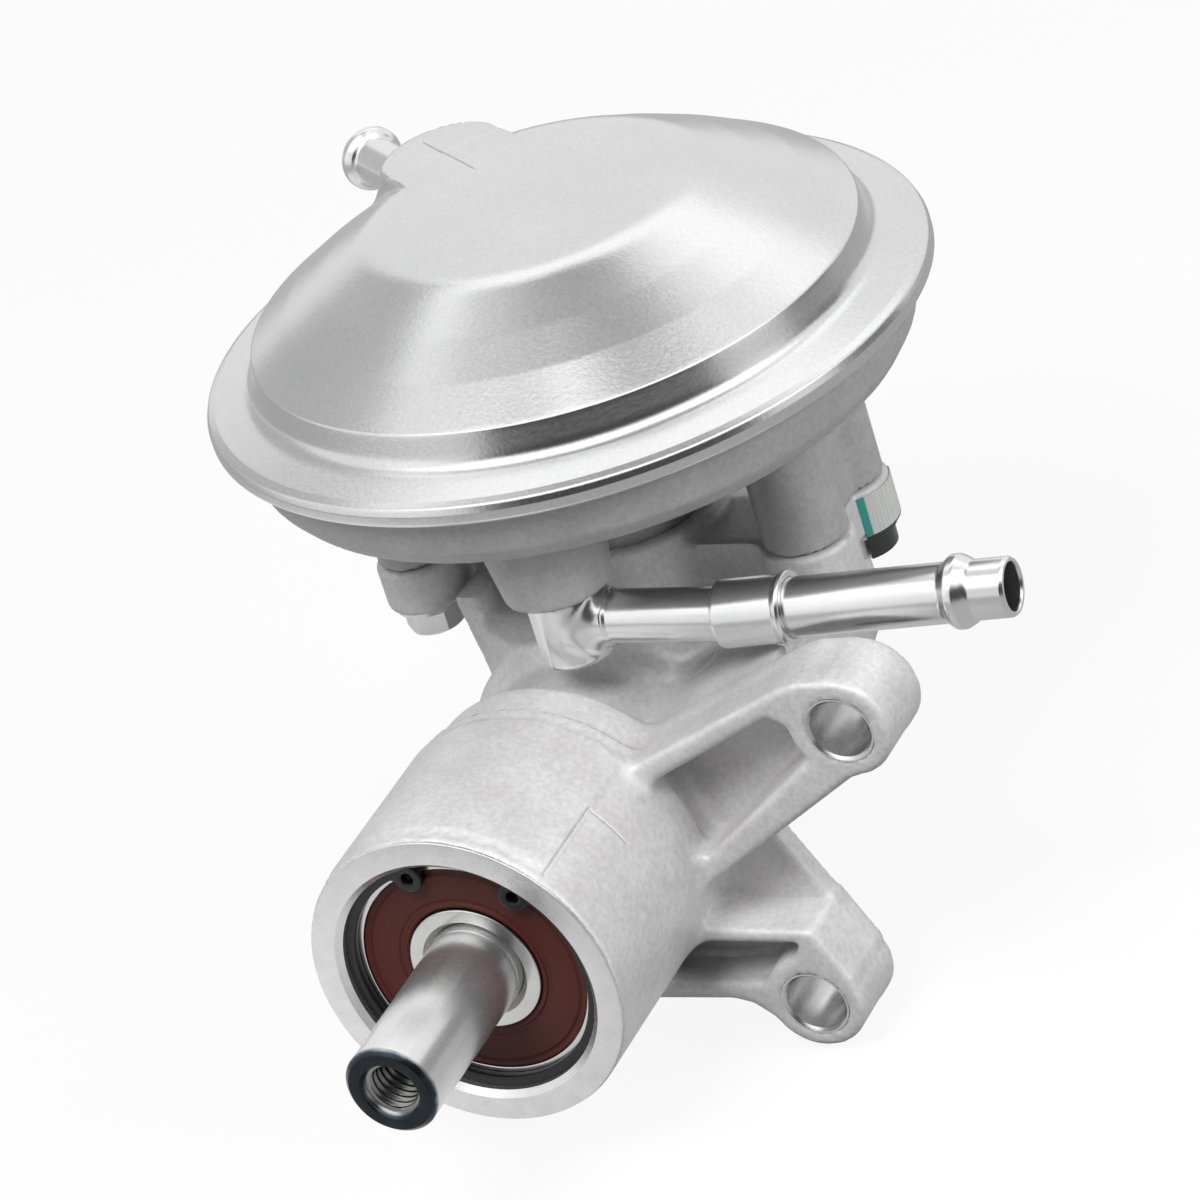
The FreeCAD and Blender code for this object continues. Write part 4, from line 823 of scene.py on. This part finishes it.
lathe("inlet_sleeve_shoulder",
      [(4.88, -0.15, 0.05), (5.25, -0.1, 0.2), (5.9, 0.25, 0.2), (5.9, 0.6, 0), (4.88, 0.6, 0)],
      JOINT, HOSE_WAY, "pump_frame", tube_zinc, 96, slot="zinc_tube", sharp_deg=40.0)
lathe("inlet_hose_end", [(4.2, 4.0, 0), (5.3, 4.0, 0.2), (5.3, 42.2, 1.2), (5.8, 42.9, 0.8), (6.5, 43.8, 0.9),
                         (6.5, 45.2, 0.9), (5.8, 46.6, 0.8), (5.25, 47.4, 1.2), (5.25, 53.6, 0.5), (4.9, 54.25, 0.3),
                         (4.35, 54.25, 0.3), (4.2, 53.7, 0.3)],
      JOINT, HOSE_WAY, "pump_frame", tube_zinc, 128, stands_for=["inlet_hose_tube"], slot="zinc_tube", sharp_deg=40.0)
LOBE_WAY = (math.cos(LOBE_TURN), math.sin(LOBE_TURN), 0)
lathe("outlet_nipple_tube", [(3.5, 46.0, 0), (4.5, 46.0, 0), (4.5, 65.0, 0.8), (5.2, 65.6, 0.6), (6.0, 66.6, 0.8),
                             (6.0, 67.9, 0.8), (5.2, 68.8, 0.6), (4.6, 69.3, 0.8), (4.5, 70.6, 0.3), (3.6, 70.9, 0.2),
                             (3.5, 70.3, 0.2)],
      (0, PUMP_Y, 88.6), LOBE_WAY, "pump_frame", tube_zinc, 96, stands_for=["outlet_nipple"], slot="zinc_tube",
      sharp_deg=40.0)

# %% [markdown]
# ## The drive shaft
# It is ground round and hardened, with a chamfered end that the heat turned blue grey, and a threaded hole for
# the pulley's screw. The thread is a real helix: the hole's radius follows a wave of the depth less the share of
# a turn, so the crests climb one pitch each turn.

# %% Shaft and thread
def tint_paint(name):
    """Ground steel whose colour changes near the end: the factor is how far Y is from the tip."""
    paint = Paint(name, Metallic=0.90)
    x, y, z = paint.apart(paint.where())
    smear = paint.noise(4.0, 3.0, 0.6)
    fine = paint.node("ShaderNodeTexNoise", {"noise_dimensions": "1D"},
                      {"W": y * 3500.0, "Scale": 1.0, "Detail": 3.0})
    depth = (y + 0.0313) * 1000.0 + (smear - 0.5) * 0.9
    colour = paint.colour(depth * 0.5, (0.0, (0.022, 0.027, 0.032)), (0.28, (0.035, 0.055, 0.075)),
                          (0.45, (0.30, 0.32, 0.34)), (0.75, (0.78, 0.77, 0.76)), (1.0, (0.76, 0.76, 0.76)))
    return paint.finish(colour, paint.between(fine * 0.5 + smear * 0.5, 0.20, 0.32), fine + smear * 0.4, 0.008, 0.6)


shaft_paint = tint_paint("shaft_end_tint")
lathe("drive_shaft_bar", [(4.95, -30.2, 0), (5.6, -31.3, 0.1), (7.65, -31.3, 0.12), (8.5, -30.45, 0.15), (8.5, 3.2, 0),
                          (8.2, 3.25, 0), (8.2, 4.0, 0), (8.5, 4.02, 0), (8.5, 68.0, 0), (5.5, 68.0, 0), (5.5, 101.35, 0),
                          (5.0, 101.35, 0), (5.0, 102.47, 0), (5.5, 102.47, 0), (5.5, 104.4, 0.3), (0.02, 104.5, 0),
                          (0.02, -4.9, 0), (4.95, -6.0, 0)],
      (0, 0, 0), (0, 1, 0), "shaft", shaft_paint, 144, 4, stands_for=["drive_shaft"], slot="ground_steel", sharp_deg=22.0)
PITCH = 1.5
depth = np.linspace(-30.9, -5.5, 270)
turn = np.linspace(0, 2 * math.pi, 96, endpoint=False)
phase = (depth[:, None] / PITCH - turn[None, :] / (2 * math.pi)) % 1.0
wave = np.clip(np.abs(phase - 0.5) * 2.6 - 0.35, 0, 1)
mouth = np.clip((depth[:, None] + 30.9) / 1.0, 0, 1)
hole_r = np.where(mouth < 1, 4.95 + (1 - mouth) * 0.4, 4.24 + 0.7 * wave)
hole_r = np.maximum(hole_r, np.where(mouth < 1, 5.1 - 0.2 * mouth, 0))
points = np.stack([hole_r * np.cos(turn), np.repeat(depth[:, None], 96, 1), hole_r * np.sin(turn)], -1)
points = points.reshape(-1, 3)
faces = grid_faces(270, 96)
centre = points[faces].mean(1)
normal = np.cross(points[faces[:, 2]] - points[faces[:, 0]], points[faces[:, 3]] - points[faces[:, 1]])
if (normal[:, 0] * centre[:, 0] + normal[:, 2] * centre[:, 2]).sum() > 0:
    faces = faces[:, ::-1]
# Ground steel at well under half the bearing steel's brightness: painted shade for the inside of the threaded hole.
thread_painted_shade = ground_paint("thread_steel_painted_shade", 0.30, 2.0, 0.22, 0.38)
piece("pulley_screw_thread", points, faces, "shaft", thread_painted_shade, slot="ground_steel", sharp_deg=50.0)

# %% [markdown]
# ## Bearing face
# Between the shaft and the housing sit the inner ring, the red brown seal with its raised lip, the outer ring and
# the black circlip. They are turned profiles too, and the circlip is a flat outline with rounded edges.

# %% Rings and seal
lathe("front_inner_ring", [(8.55, 5.6, 0.0), (9.75, 4.05, 0.2), (12.3, 4.05, 0.35), (12.3, 17.9, 0.3), (8.55, 17.9, 0.3)],
      (0, 0, 0), (0, 1, 0), "shaft", race_steel, 128, 5, stands_for=["front_bearing_inner_ring"], slot="bearing_steel",
      sharp_deg=30.0)
lathe("front_outer_ring", [(20.95, 4.0, 0.15), (22.9, 4.0, 0.3), (23.45, 4.6, 0.3), (23.45, 17.9, 0.3), (19.9, 17.9, 0.2),
                           (19.9, 5.6, 0), (20.95, 5.6, 0)],
      (0, 0, 0), (0, 1, 0), "pump_frame", race_steel, 160, 5, stands_for=["front_bearing_outer_ring"],
      slot="bearing_steel", sharp_deg=30.0)
lathe("front_seal_face", [(12.42, 4.75, 0.1), (12.9, 4.38, 0.15), (13.35, 4.38, 0.15), (13.6, 4.66, 0.1), (14.1, 4.66, 0.1),
                          (14.5, 4.36, 0.2), (19.3, 4.32, 0.25), (19.75, 4.55, 0.1), (20.2, 4.55, 0.1), (20.5, 4.3, 0.15),
                          (20.85, 4.35, 0.1), (20.88, 5.4, 0), (12.42, 5.5, 0)],
      (0, 0, 0), (0, 1, 0), "pump_frame", seal_red, 160, 4, stands_for=["front_bearing_front_seal"], slot="seal_rubber",
      sharp_deg=50.0)

# %% Circlip
CLIP_OUT, CLIP_IN = 24.42, 21.83
CLIP_MIDDLE, CLIP_HALF = math.radians(79.0), math.radians(28.0)


def clip_distance(p):
    """A flat ring less its gap, joined to two lugs, each less its hole, then held between two planes."""
    radius = np.hypot(p[0], p[2])
    angle = (np.arctan2(p[2], p[0]) - CLIP_MIDDLE + math.pi) % (2 * math.pi) - math.pi
    ring = np.maximum(radius - CLIP_OUT, CLIP_IN - radius)
    ring = np.maximum(ring, radius * (CLIP_HALF - np.abs(angle)))
    for way in (-1, 1):
        x, z = 20.9 * math.cos(CLIP_MIDDLE + way * CLIP_HALF), 20.9 * math.sin(CLIP_MIDDLE + way * CLIP_HALF)
        lug = np.hypot(p[0] - x, p[2] - z)
        ring = smooth_min(ring, lug - 2.7, 1.2)
        ring = np.maximum(ring, 1.15 - lug)
    ring = np.maximum(ring, radius - CLIP_OUT)
    return block(ring, np.abs(p[1] - 3.12) - 0.87, 0.22)


points, faces = skin(clip_distance, (-25.3, 1.6, -25.3), (25.3, 4.5, 25.3), 0.33)
piece("bearing_circlip_ring", points, faces, "pump_frame", clip_black, ["bearing_circlip"], "black_spring_steel", 50.0)

# %% [markdown]
# ## Bolts and the tamper seal
# A flange bolt's head is a hexagon whose top corners are turned off, on a round flange. The hexagon is a radius
# that changes with the angle, and the turned corners are a cone that the radius may not pass.

# %% Flange bolts
def hex_radius(turn, flat):
    """Half the width across flats over the cosine of the angle from the nearest flat's middle."""
    return flat / np.cos((turn + math.pi / 6) % (math.pi / 3) - math.pi / 6)


def bolt_points(x, y, turn_deg):
    """Rows from the head's face up to the flange and the shank, each a radius for every angle."""
    turn = np.linspace(0, 2 * math.pi, 144, endpoint=False)
    six = hex_radius(turn + math.radians(turn_deg), 5.0)
    full = np.ones_like(turn)
    low = 25.0 - 1.2 - 4.6
    rows = [(0.02 * full, low + 0.55), (3.6 * full, low + 0.55), (3.9 * full, low + 0.35), (4.3 * full, low + 0.02),
            (4.75 * full, low + 0.0)]
    for k in np.linspace(0, 1, 7):
        limit = 4.85 + 1.0 * k
        rows.append((np.minimum(six, limit) * full, low + 0.05 + 0.62 * k))
    rows += [(six, low + 1.1), (six, 23.2), (six + 0.1, 23.55), (6.2 * full, 23.75), (6.6 * full, 24.0), (6.6 * full, 24.8),
             (6.45 * full, 24.97), (3.0 * full, 24.98), (3.0 * full, 46.5), (2.5 * full, 47.0), (0.02 * full, 47.0)]
    return np.array([np.stack([x + r * np.cos(turn), y + r * np.sin(turn), np.full_like(turn, z)], -1)
                     for r, z in rows])


rows = [bolt_points(*BOLTS[0], 12.0), bolt_points(*BOLTS[1], 40.0)]
points = np.concatenate([r.reshape(-1, 3) for r in rows])
one = grid_faces(rows[0].shape[0], 144)
one = outwards(rows[0].reshape(-1, 3) - rows[0].reshape(-1, 3).mean(0), one)
piece("flange_bolts", points, np.concatenate([one, one + rows[0].shape[0] * 144]), "pump_frame", bolt_zinc,
      ["body_bolts"], "zinc_bolt", 28.0)

# %% [markdown]
# The tamper seal is a paper thin film, stuck from the lug down to the bolt's head, so that a loosened bolt shows.
# It is a strip that follows their outlines. Its pattern is fine hairlines between two coloured edges, painted by
# the angle round the bolt, with a dark lower end.

# %% Tamper seal
def film_paint(name, centre):
    paint = Paint(name, Metallic=0.0, Roughness=0.35, Coat_Weight=0.3)
    x, y, z = paint.apart(paint.where())
    dx, dy = x - centre[0] * MM, y - centre[1] * MM
    angle = paint.node("ShaderNodeMath", {"operation": "ARCTAN2"}, {0: dy, 1: dx}) * (180 / math.pi)
    hair = paint.node("ShaderNodeTexNoise", {"noise_dimensions": "1D"}, {"W": angle * 0.9, "Scale": 1.0, "Detail": 2.0})
    pale = paint.colour(hair, (0.35, (0.42, 0.42, 0.40)), (0.6, (0.72, 0.74, 0.72)))
    middle = -8.0
    away = paint.node("ShaderNodeMath", {"operation": "ABSOLUTE"}, {0: angle - middle})
    edge = paint.node("ShaderNodeMath", {"operation": "GREATER_THAN"}, {0: away, 1: 38.0})
    teal = paint.node("ShaderNodeMix", {"data_type": "RGBA"}, {0: edge, 6: pale, 7: (0.02, 0.32, 0.27, 1)}, out=2)
    low = paint.node("ShaderNodeMath", {"operation": "LESS_THAN"}, {0: z, 1: 0.0252})
    whole = paint.node("ShaderNodeMix", {"data_type": "RGBA"}, {0: low, 6: teal, 7: (0.016, 0.017, 0.02, 1)}, out=2)
    return paint.finish(whole, None, hair, 0.01, 0.4)


bx, by = BOLTS[1]
path = rounded([(7.74, 33.0, 0), (7.74, 24.72, 0.25), (6.78, 24.7, 0.1), (6.78, 23.5, 0.2), (5.98, 23.4, 0.2),
                (5.98, 19.7, 0)], 4, closed=False)
path = densify(path, 0.7)
turn = np.radians(np.linspace(-56.0, 40.0, 72))
front = np.stack([bx + (path[:, 0][:, None] + 0.2) * np.cos(turn), by + (path[:, 0][:, None] + 0.2) * np.sin(turn),
                  np.repeat(path[:, 1][:, None], 72, 1)], -1)
back = np.stack([bx + path[:, 0][:, None] * np.cos(turn), by + path[:, 0][:, None] * np.sin(turn),
                 np.repeat(path[:, 1][:, None], 72, 1)], -1)
sheet_points = np.concatenate([front, back[::-1]])
faces = grid_faces(len(sheet_points), 72, close_rows=True, close_columns=False)
n, m = len(sheet_points), 72
half = n // 2
left = np.stack([np.arange(half - 1) * m, (np.arange(half - 1) + 1) * m, (n - 2 - np.arange(half - 1)) * m,
                 (n - 1 - np.arange(half - 1)) * m], 1)
right = left[:, ::-1] + (m - 1)
faces = np.concatenate([faces, left[:, ::-1], right[:, ::-1]])
points = sheet_points.reshape(-1, 3)
shifted = points - points.mean(0)
piece("tamper_seal_film", points, outwards(shifted, faces), "pump_frame", film_paint("seal_film", BOLTS[1]),
      ["tamper_seal"], "seal_film", 50.0)

# %% [markdown]
# ## The pieces inside
# The pieces inside the castings keep their CAD solids, whose shapes are right, and get their real materials: steel
# races and balls, moulded cages, black rubber and zinc plated plates. They show when the pump is taken apart.

# %% Inner pieces
INNER = {
    race_steel: ["front_bearing_balls", "rear_bearing_balls", "crank_bearing_balls", "rear_bearing_outer_ring",
                 "rear_bearing_inner_ring", "crank_bearing_outer_ring", "crank_bearing_inner_ring"],
    cage_plastic: ["front_bearing_cage", "rear_bearing_cage", "crank_bearing_cage"],
    seal_red: ["front_bearing_rear_seal", "rear_bearing_seals"],
    inner_steel: ["connecting_rod", "eccentric_hub", "counterweight", "bearing_spacer"],
    clip_black: ["hub_snap_ring"],
    rubber: ["diaphragm"],
    valve_rubber: ["transfer_valves", "inlet_valve", "rod_boot", "neck_seal_ring"],
    plate_zinc: ["lower_diaphragm_plate", "upper_diaphragm_plate", "boot_retainer", "rear_plug", "inlet_valve_seat"],
    bolt_zinc: ["diaphragm_screw"],
}
for paint, names in INNER.items():
    for name in names:
        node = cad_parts[name]
        node.data.materials.clear()
        node.data.materials.append(paint)
print("inner pieces painted:", sum(len(v) for v in INNER.values()))

# %% [markdown]
# ## Studio
# A product like this is photographed on white, with a soft light above and a darker side towards the camera. The
# world is white to the camera and to reflections, and a low floor takes a faint shadow. The lamps light the matt
# surfaces only: in polished metal they aren't seen, and cards that only reflections see give it its contrast.

# %% World and lamps
scene = bpy.context.scene
scene.view_settings.view_transform = "Standard"
world = bpy.data.worlds.new("studio")
scene.world = world
world.use_nodes = True
tree = world.node_tree
room = tree.nodes["Background"]
room.inputs["Color"].default_value = (0.97, 0.985, 1.0, 1)
room.inputs["Strength"].default_value = 0.14
white = tree.nodes.new("ShaderNodeBackground")
white.inputs["Color"].default_value = (1, 1, 1, 1)
white.inputs["Strength"].default_value = 1.0
seen = tree.nodes.new("ShaderNodeLightPath")
mix = tree.nodes.new("ShaderNodeMixShader")
either = tree.nodes.new("ShaderNodeMath")
either.operation = "MAXIMUM"
tree.links.new(seen.outputs["Is Camera Ray"], either.inputs[0])
tree.links.new(seen.outputs["Is Glossy Ray"], either.inputs[1])
tree.links.new(either.outputs[0], mix.inputs[0])
tree.links.new(room.outputs[0], mix.inputs[1])
tree.links.new(white.outputs[0], mix.inputs[2])
tree.links.new(mix.outputs[0], tree.nodes["World Output"].inputs[0])


def lamp(name, place, size, power):
    """A square soft light: its local minus Z axis is turned to the middle of the pump."""
    light = bpy.data.lights.new(name, "AREA")
    light.shape = "SQUARE"
    light.size = size
    light.energy = power
    made = bpy.data.objects.new(name, light)
    scene.collection.objects.link(made)
    made.location = place
    made.rotation_euler = (Vector((0.0, 0.06, 0.03)) - Vector(place)).to_track_quat("-Z", "Y").to_euler()
    made.visible_glossy = False
    return made


lamp("softbox_key", (0.00, -0.58, 0.95), 0.5, 12.0)
lamp("softbox_right", (1.00, 0.02, 0.52), 0.5, 8.5)
lamp("softbox_left", (-0.80, -0.05, 0.55), 0.4, 0.8)

# %% Floor and cards
MIDDLE = np.array([0.0, 0.06, 0.03])


def stage_sheet(name, corners, paint):
    """A flat sheet that isn't part of the object."""
    mesh = bpy.data.meshes.new(name)
    mesh.from_pydata(corners, [], [tuple(range(len(corners)))])
    mesh.materials.append(paint)
    made = bpy.data.objects.new(name, mesh)
    scene.collection.objects.link(made)
    return made


def glow_paint(name, strength):
    """Even light of one strength, for the cards."""
    paint = bpy.data.materials.new(name)
    paint.use_nodes = True
    nodes = paint.node_tree.nodes
    nodes.remove(nodes["Principled BSDF"])
    glow = nodes.new("ShaderNodeEmission")
    glow.inputs["Strength"].default_value = strength
    paint.node_tree.links.new(glow.outputs[0], nodes["Material Output"].inputs[0])
    return paint


floor_paint = Paint("floor_white", Roughness=0.8)
tree = floor_paint.tree
x, y, z = floor_paint.apart(floor_paint.where())
dx, dy = x + 0.12, y
away = (dx * dx + dy * dy).power(0.5)
# Painted light, seen only in reflections: the floor glows brightest round a spot to the pump's left and fades to mid
# grey farther out.
ring = floor_paint.colour(away * 4.0, (0.34, grey(0.92)), (0.80, grey(0.50)))
reflected_light_pool = tree.nodes.new("ShaderNodeEmission")
tree.links.new(ring.socket, reflected_light_pool.inputs["Color"])
glow = tree.nodes.new("ShaderNodeEmission")
seen = tree.nodes.new("ShaderNodeLightPath")
share = tree.nodes.new("ShaderNodeMath")
share.operation = "MULTIPLY"
share.inputs[1].default_value = 0.90
first = tree.nodes.new("ShaderNodeMixShader")
second = tree.nodes.new("ShaderNodeMixShader")
tree.links.new(seen.outputs["Is Camera Ray"], share.inputs[0])
to_camera = Wire(floor_paint, seen.outputs["Is Camera Ray"])
# To the camera the floor's colour is near white; to bounced light it is dark grey, so little light reaches the
# castings' undersides.
near_white = floor_paint.colour(to_camera, (0.0, grey(0.12)), (1.0, grey(0.80)))
tree.links.new(near_white.socket, floor_paint.shader.inputs["Base Color"])
tree.links.new(share.outputs[0], first.inputs[0])
tree.links.new(floor_paint.shader.outputs[0], first.inputs[1])
tree.links.new(glow.outputs[0], first.inputs[2])
tree.links.new(seen.outputs["Is Glossy Ray"], second.inputs[0])
tree.links.new(first.outputs[0], second.inputs[1])
tree.links.new(reflected_light_pool.outputs[0], second.inputs[2])
tree.links.new(second.outputs[0], tree.nodes["Material Output"].inputs[0])
FLOOR_HALF, FLOOR_Z = 6, -0.0405
stage_sheet("floor", [(i * FLOOR_HALF, j * FLOOR_HALF, FLOOR_Z) for i, j in ((-1, -1), (1, -1), (1, 1), (-1, 1))],
            floor_paint.material)


def card(name, azimuth, elevation, wide, high, strength, distance):
    """A card for reflections only, square to the object, its sides given as the angles that it covers."""
    a, e = math.radians(azimuth), math.radians(elevation)
    away = np.array([math.sin(a) * math.cos(e), -math.cos(a) * math.cos(e), math.sin(e)])
    side = np.array([math.cos(a), math.sin(a), 0])
    up = np.cross(side, away)
    half_w = distance * math.tan(math.radians(wide / 2))
    half_h = distance * math.tan(math.radians(high / 2))
    middle = MIDDLE + away * distance
    corners = [tuple(middle + side * half_w * i + up * half_h * j) for i, j in ((-1, -1), (1, -1), (1, 1), (-1, 1))]
    made = stage_sheet(name, corners, glow_paint(name, strength))
    for ray in ("camera", "diffuse", "transmission", "shadow"):
        setattr(made, f"visible_{ray}", False)


CARDS = {
    "front_dark": (34, 22, 84, 38, 0.05, 2.4),
    "front_low": (34, -1, 100, 8, 0.40, 2.4),
    "stub_light": (-38, 30, 24, 34, 1.25, 2.3),
    "over_camera": (32, 71, 100, 42, 1.9, 2.2),
    "zenith": (168, 80, 30, 22, 0.36, 2.0),
    "zenith_left": (-98, 76, 24, 22, 0.72, 2.1),
    "back_high": (212, 58, 84, 24, 1.5, 2.2),
    "left": (-104, 28, 38, 50, 0.58, 1.9),
    "back_wide": (205, 24, 120, 42, 1.0, 2.5),
    "right_dark": (122, 8, 30, 30, 0.22, 1.9),
}
for name, numbers in CARDS.items():
    card(f"card_{name}", *numbers)

# %% [markdown]
# ## Camera
# The camera stands where the photographer's did: its place and its turn come from the known sizes in the picture,
# such as the bearing's circles and the rim's ellipse. The long lens keeps the lines nearly parallel.

# %% Camera
camera_data = bpy.data.cameras.new("camera")
camera_data.sensor_width = 36.0
camera_data.lens = 36.0 * 6167.5 / 1200.0
camera_data.clip_end = 20.0
camera = bpy.data.objects.new("camera", camera_data)
scene.collection.objects.link(camera)
right, up, back = (0.88217, 0.38738, -0.26780), (0.01708, 0.54197, 0.84022), (0.47063, -0.74579, 0.47149)
turned_to = Matrix((right, up, back)).transposed().to_4x4()
camera.matrix_world = Matrix.Translation(Vector((0.51818, -0.74265, 0.54652))) @ turned_to
scene.camera = camera
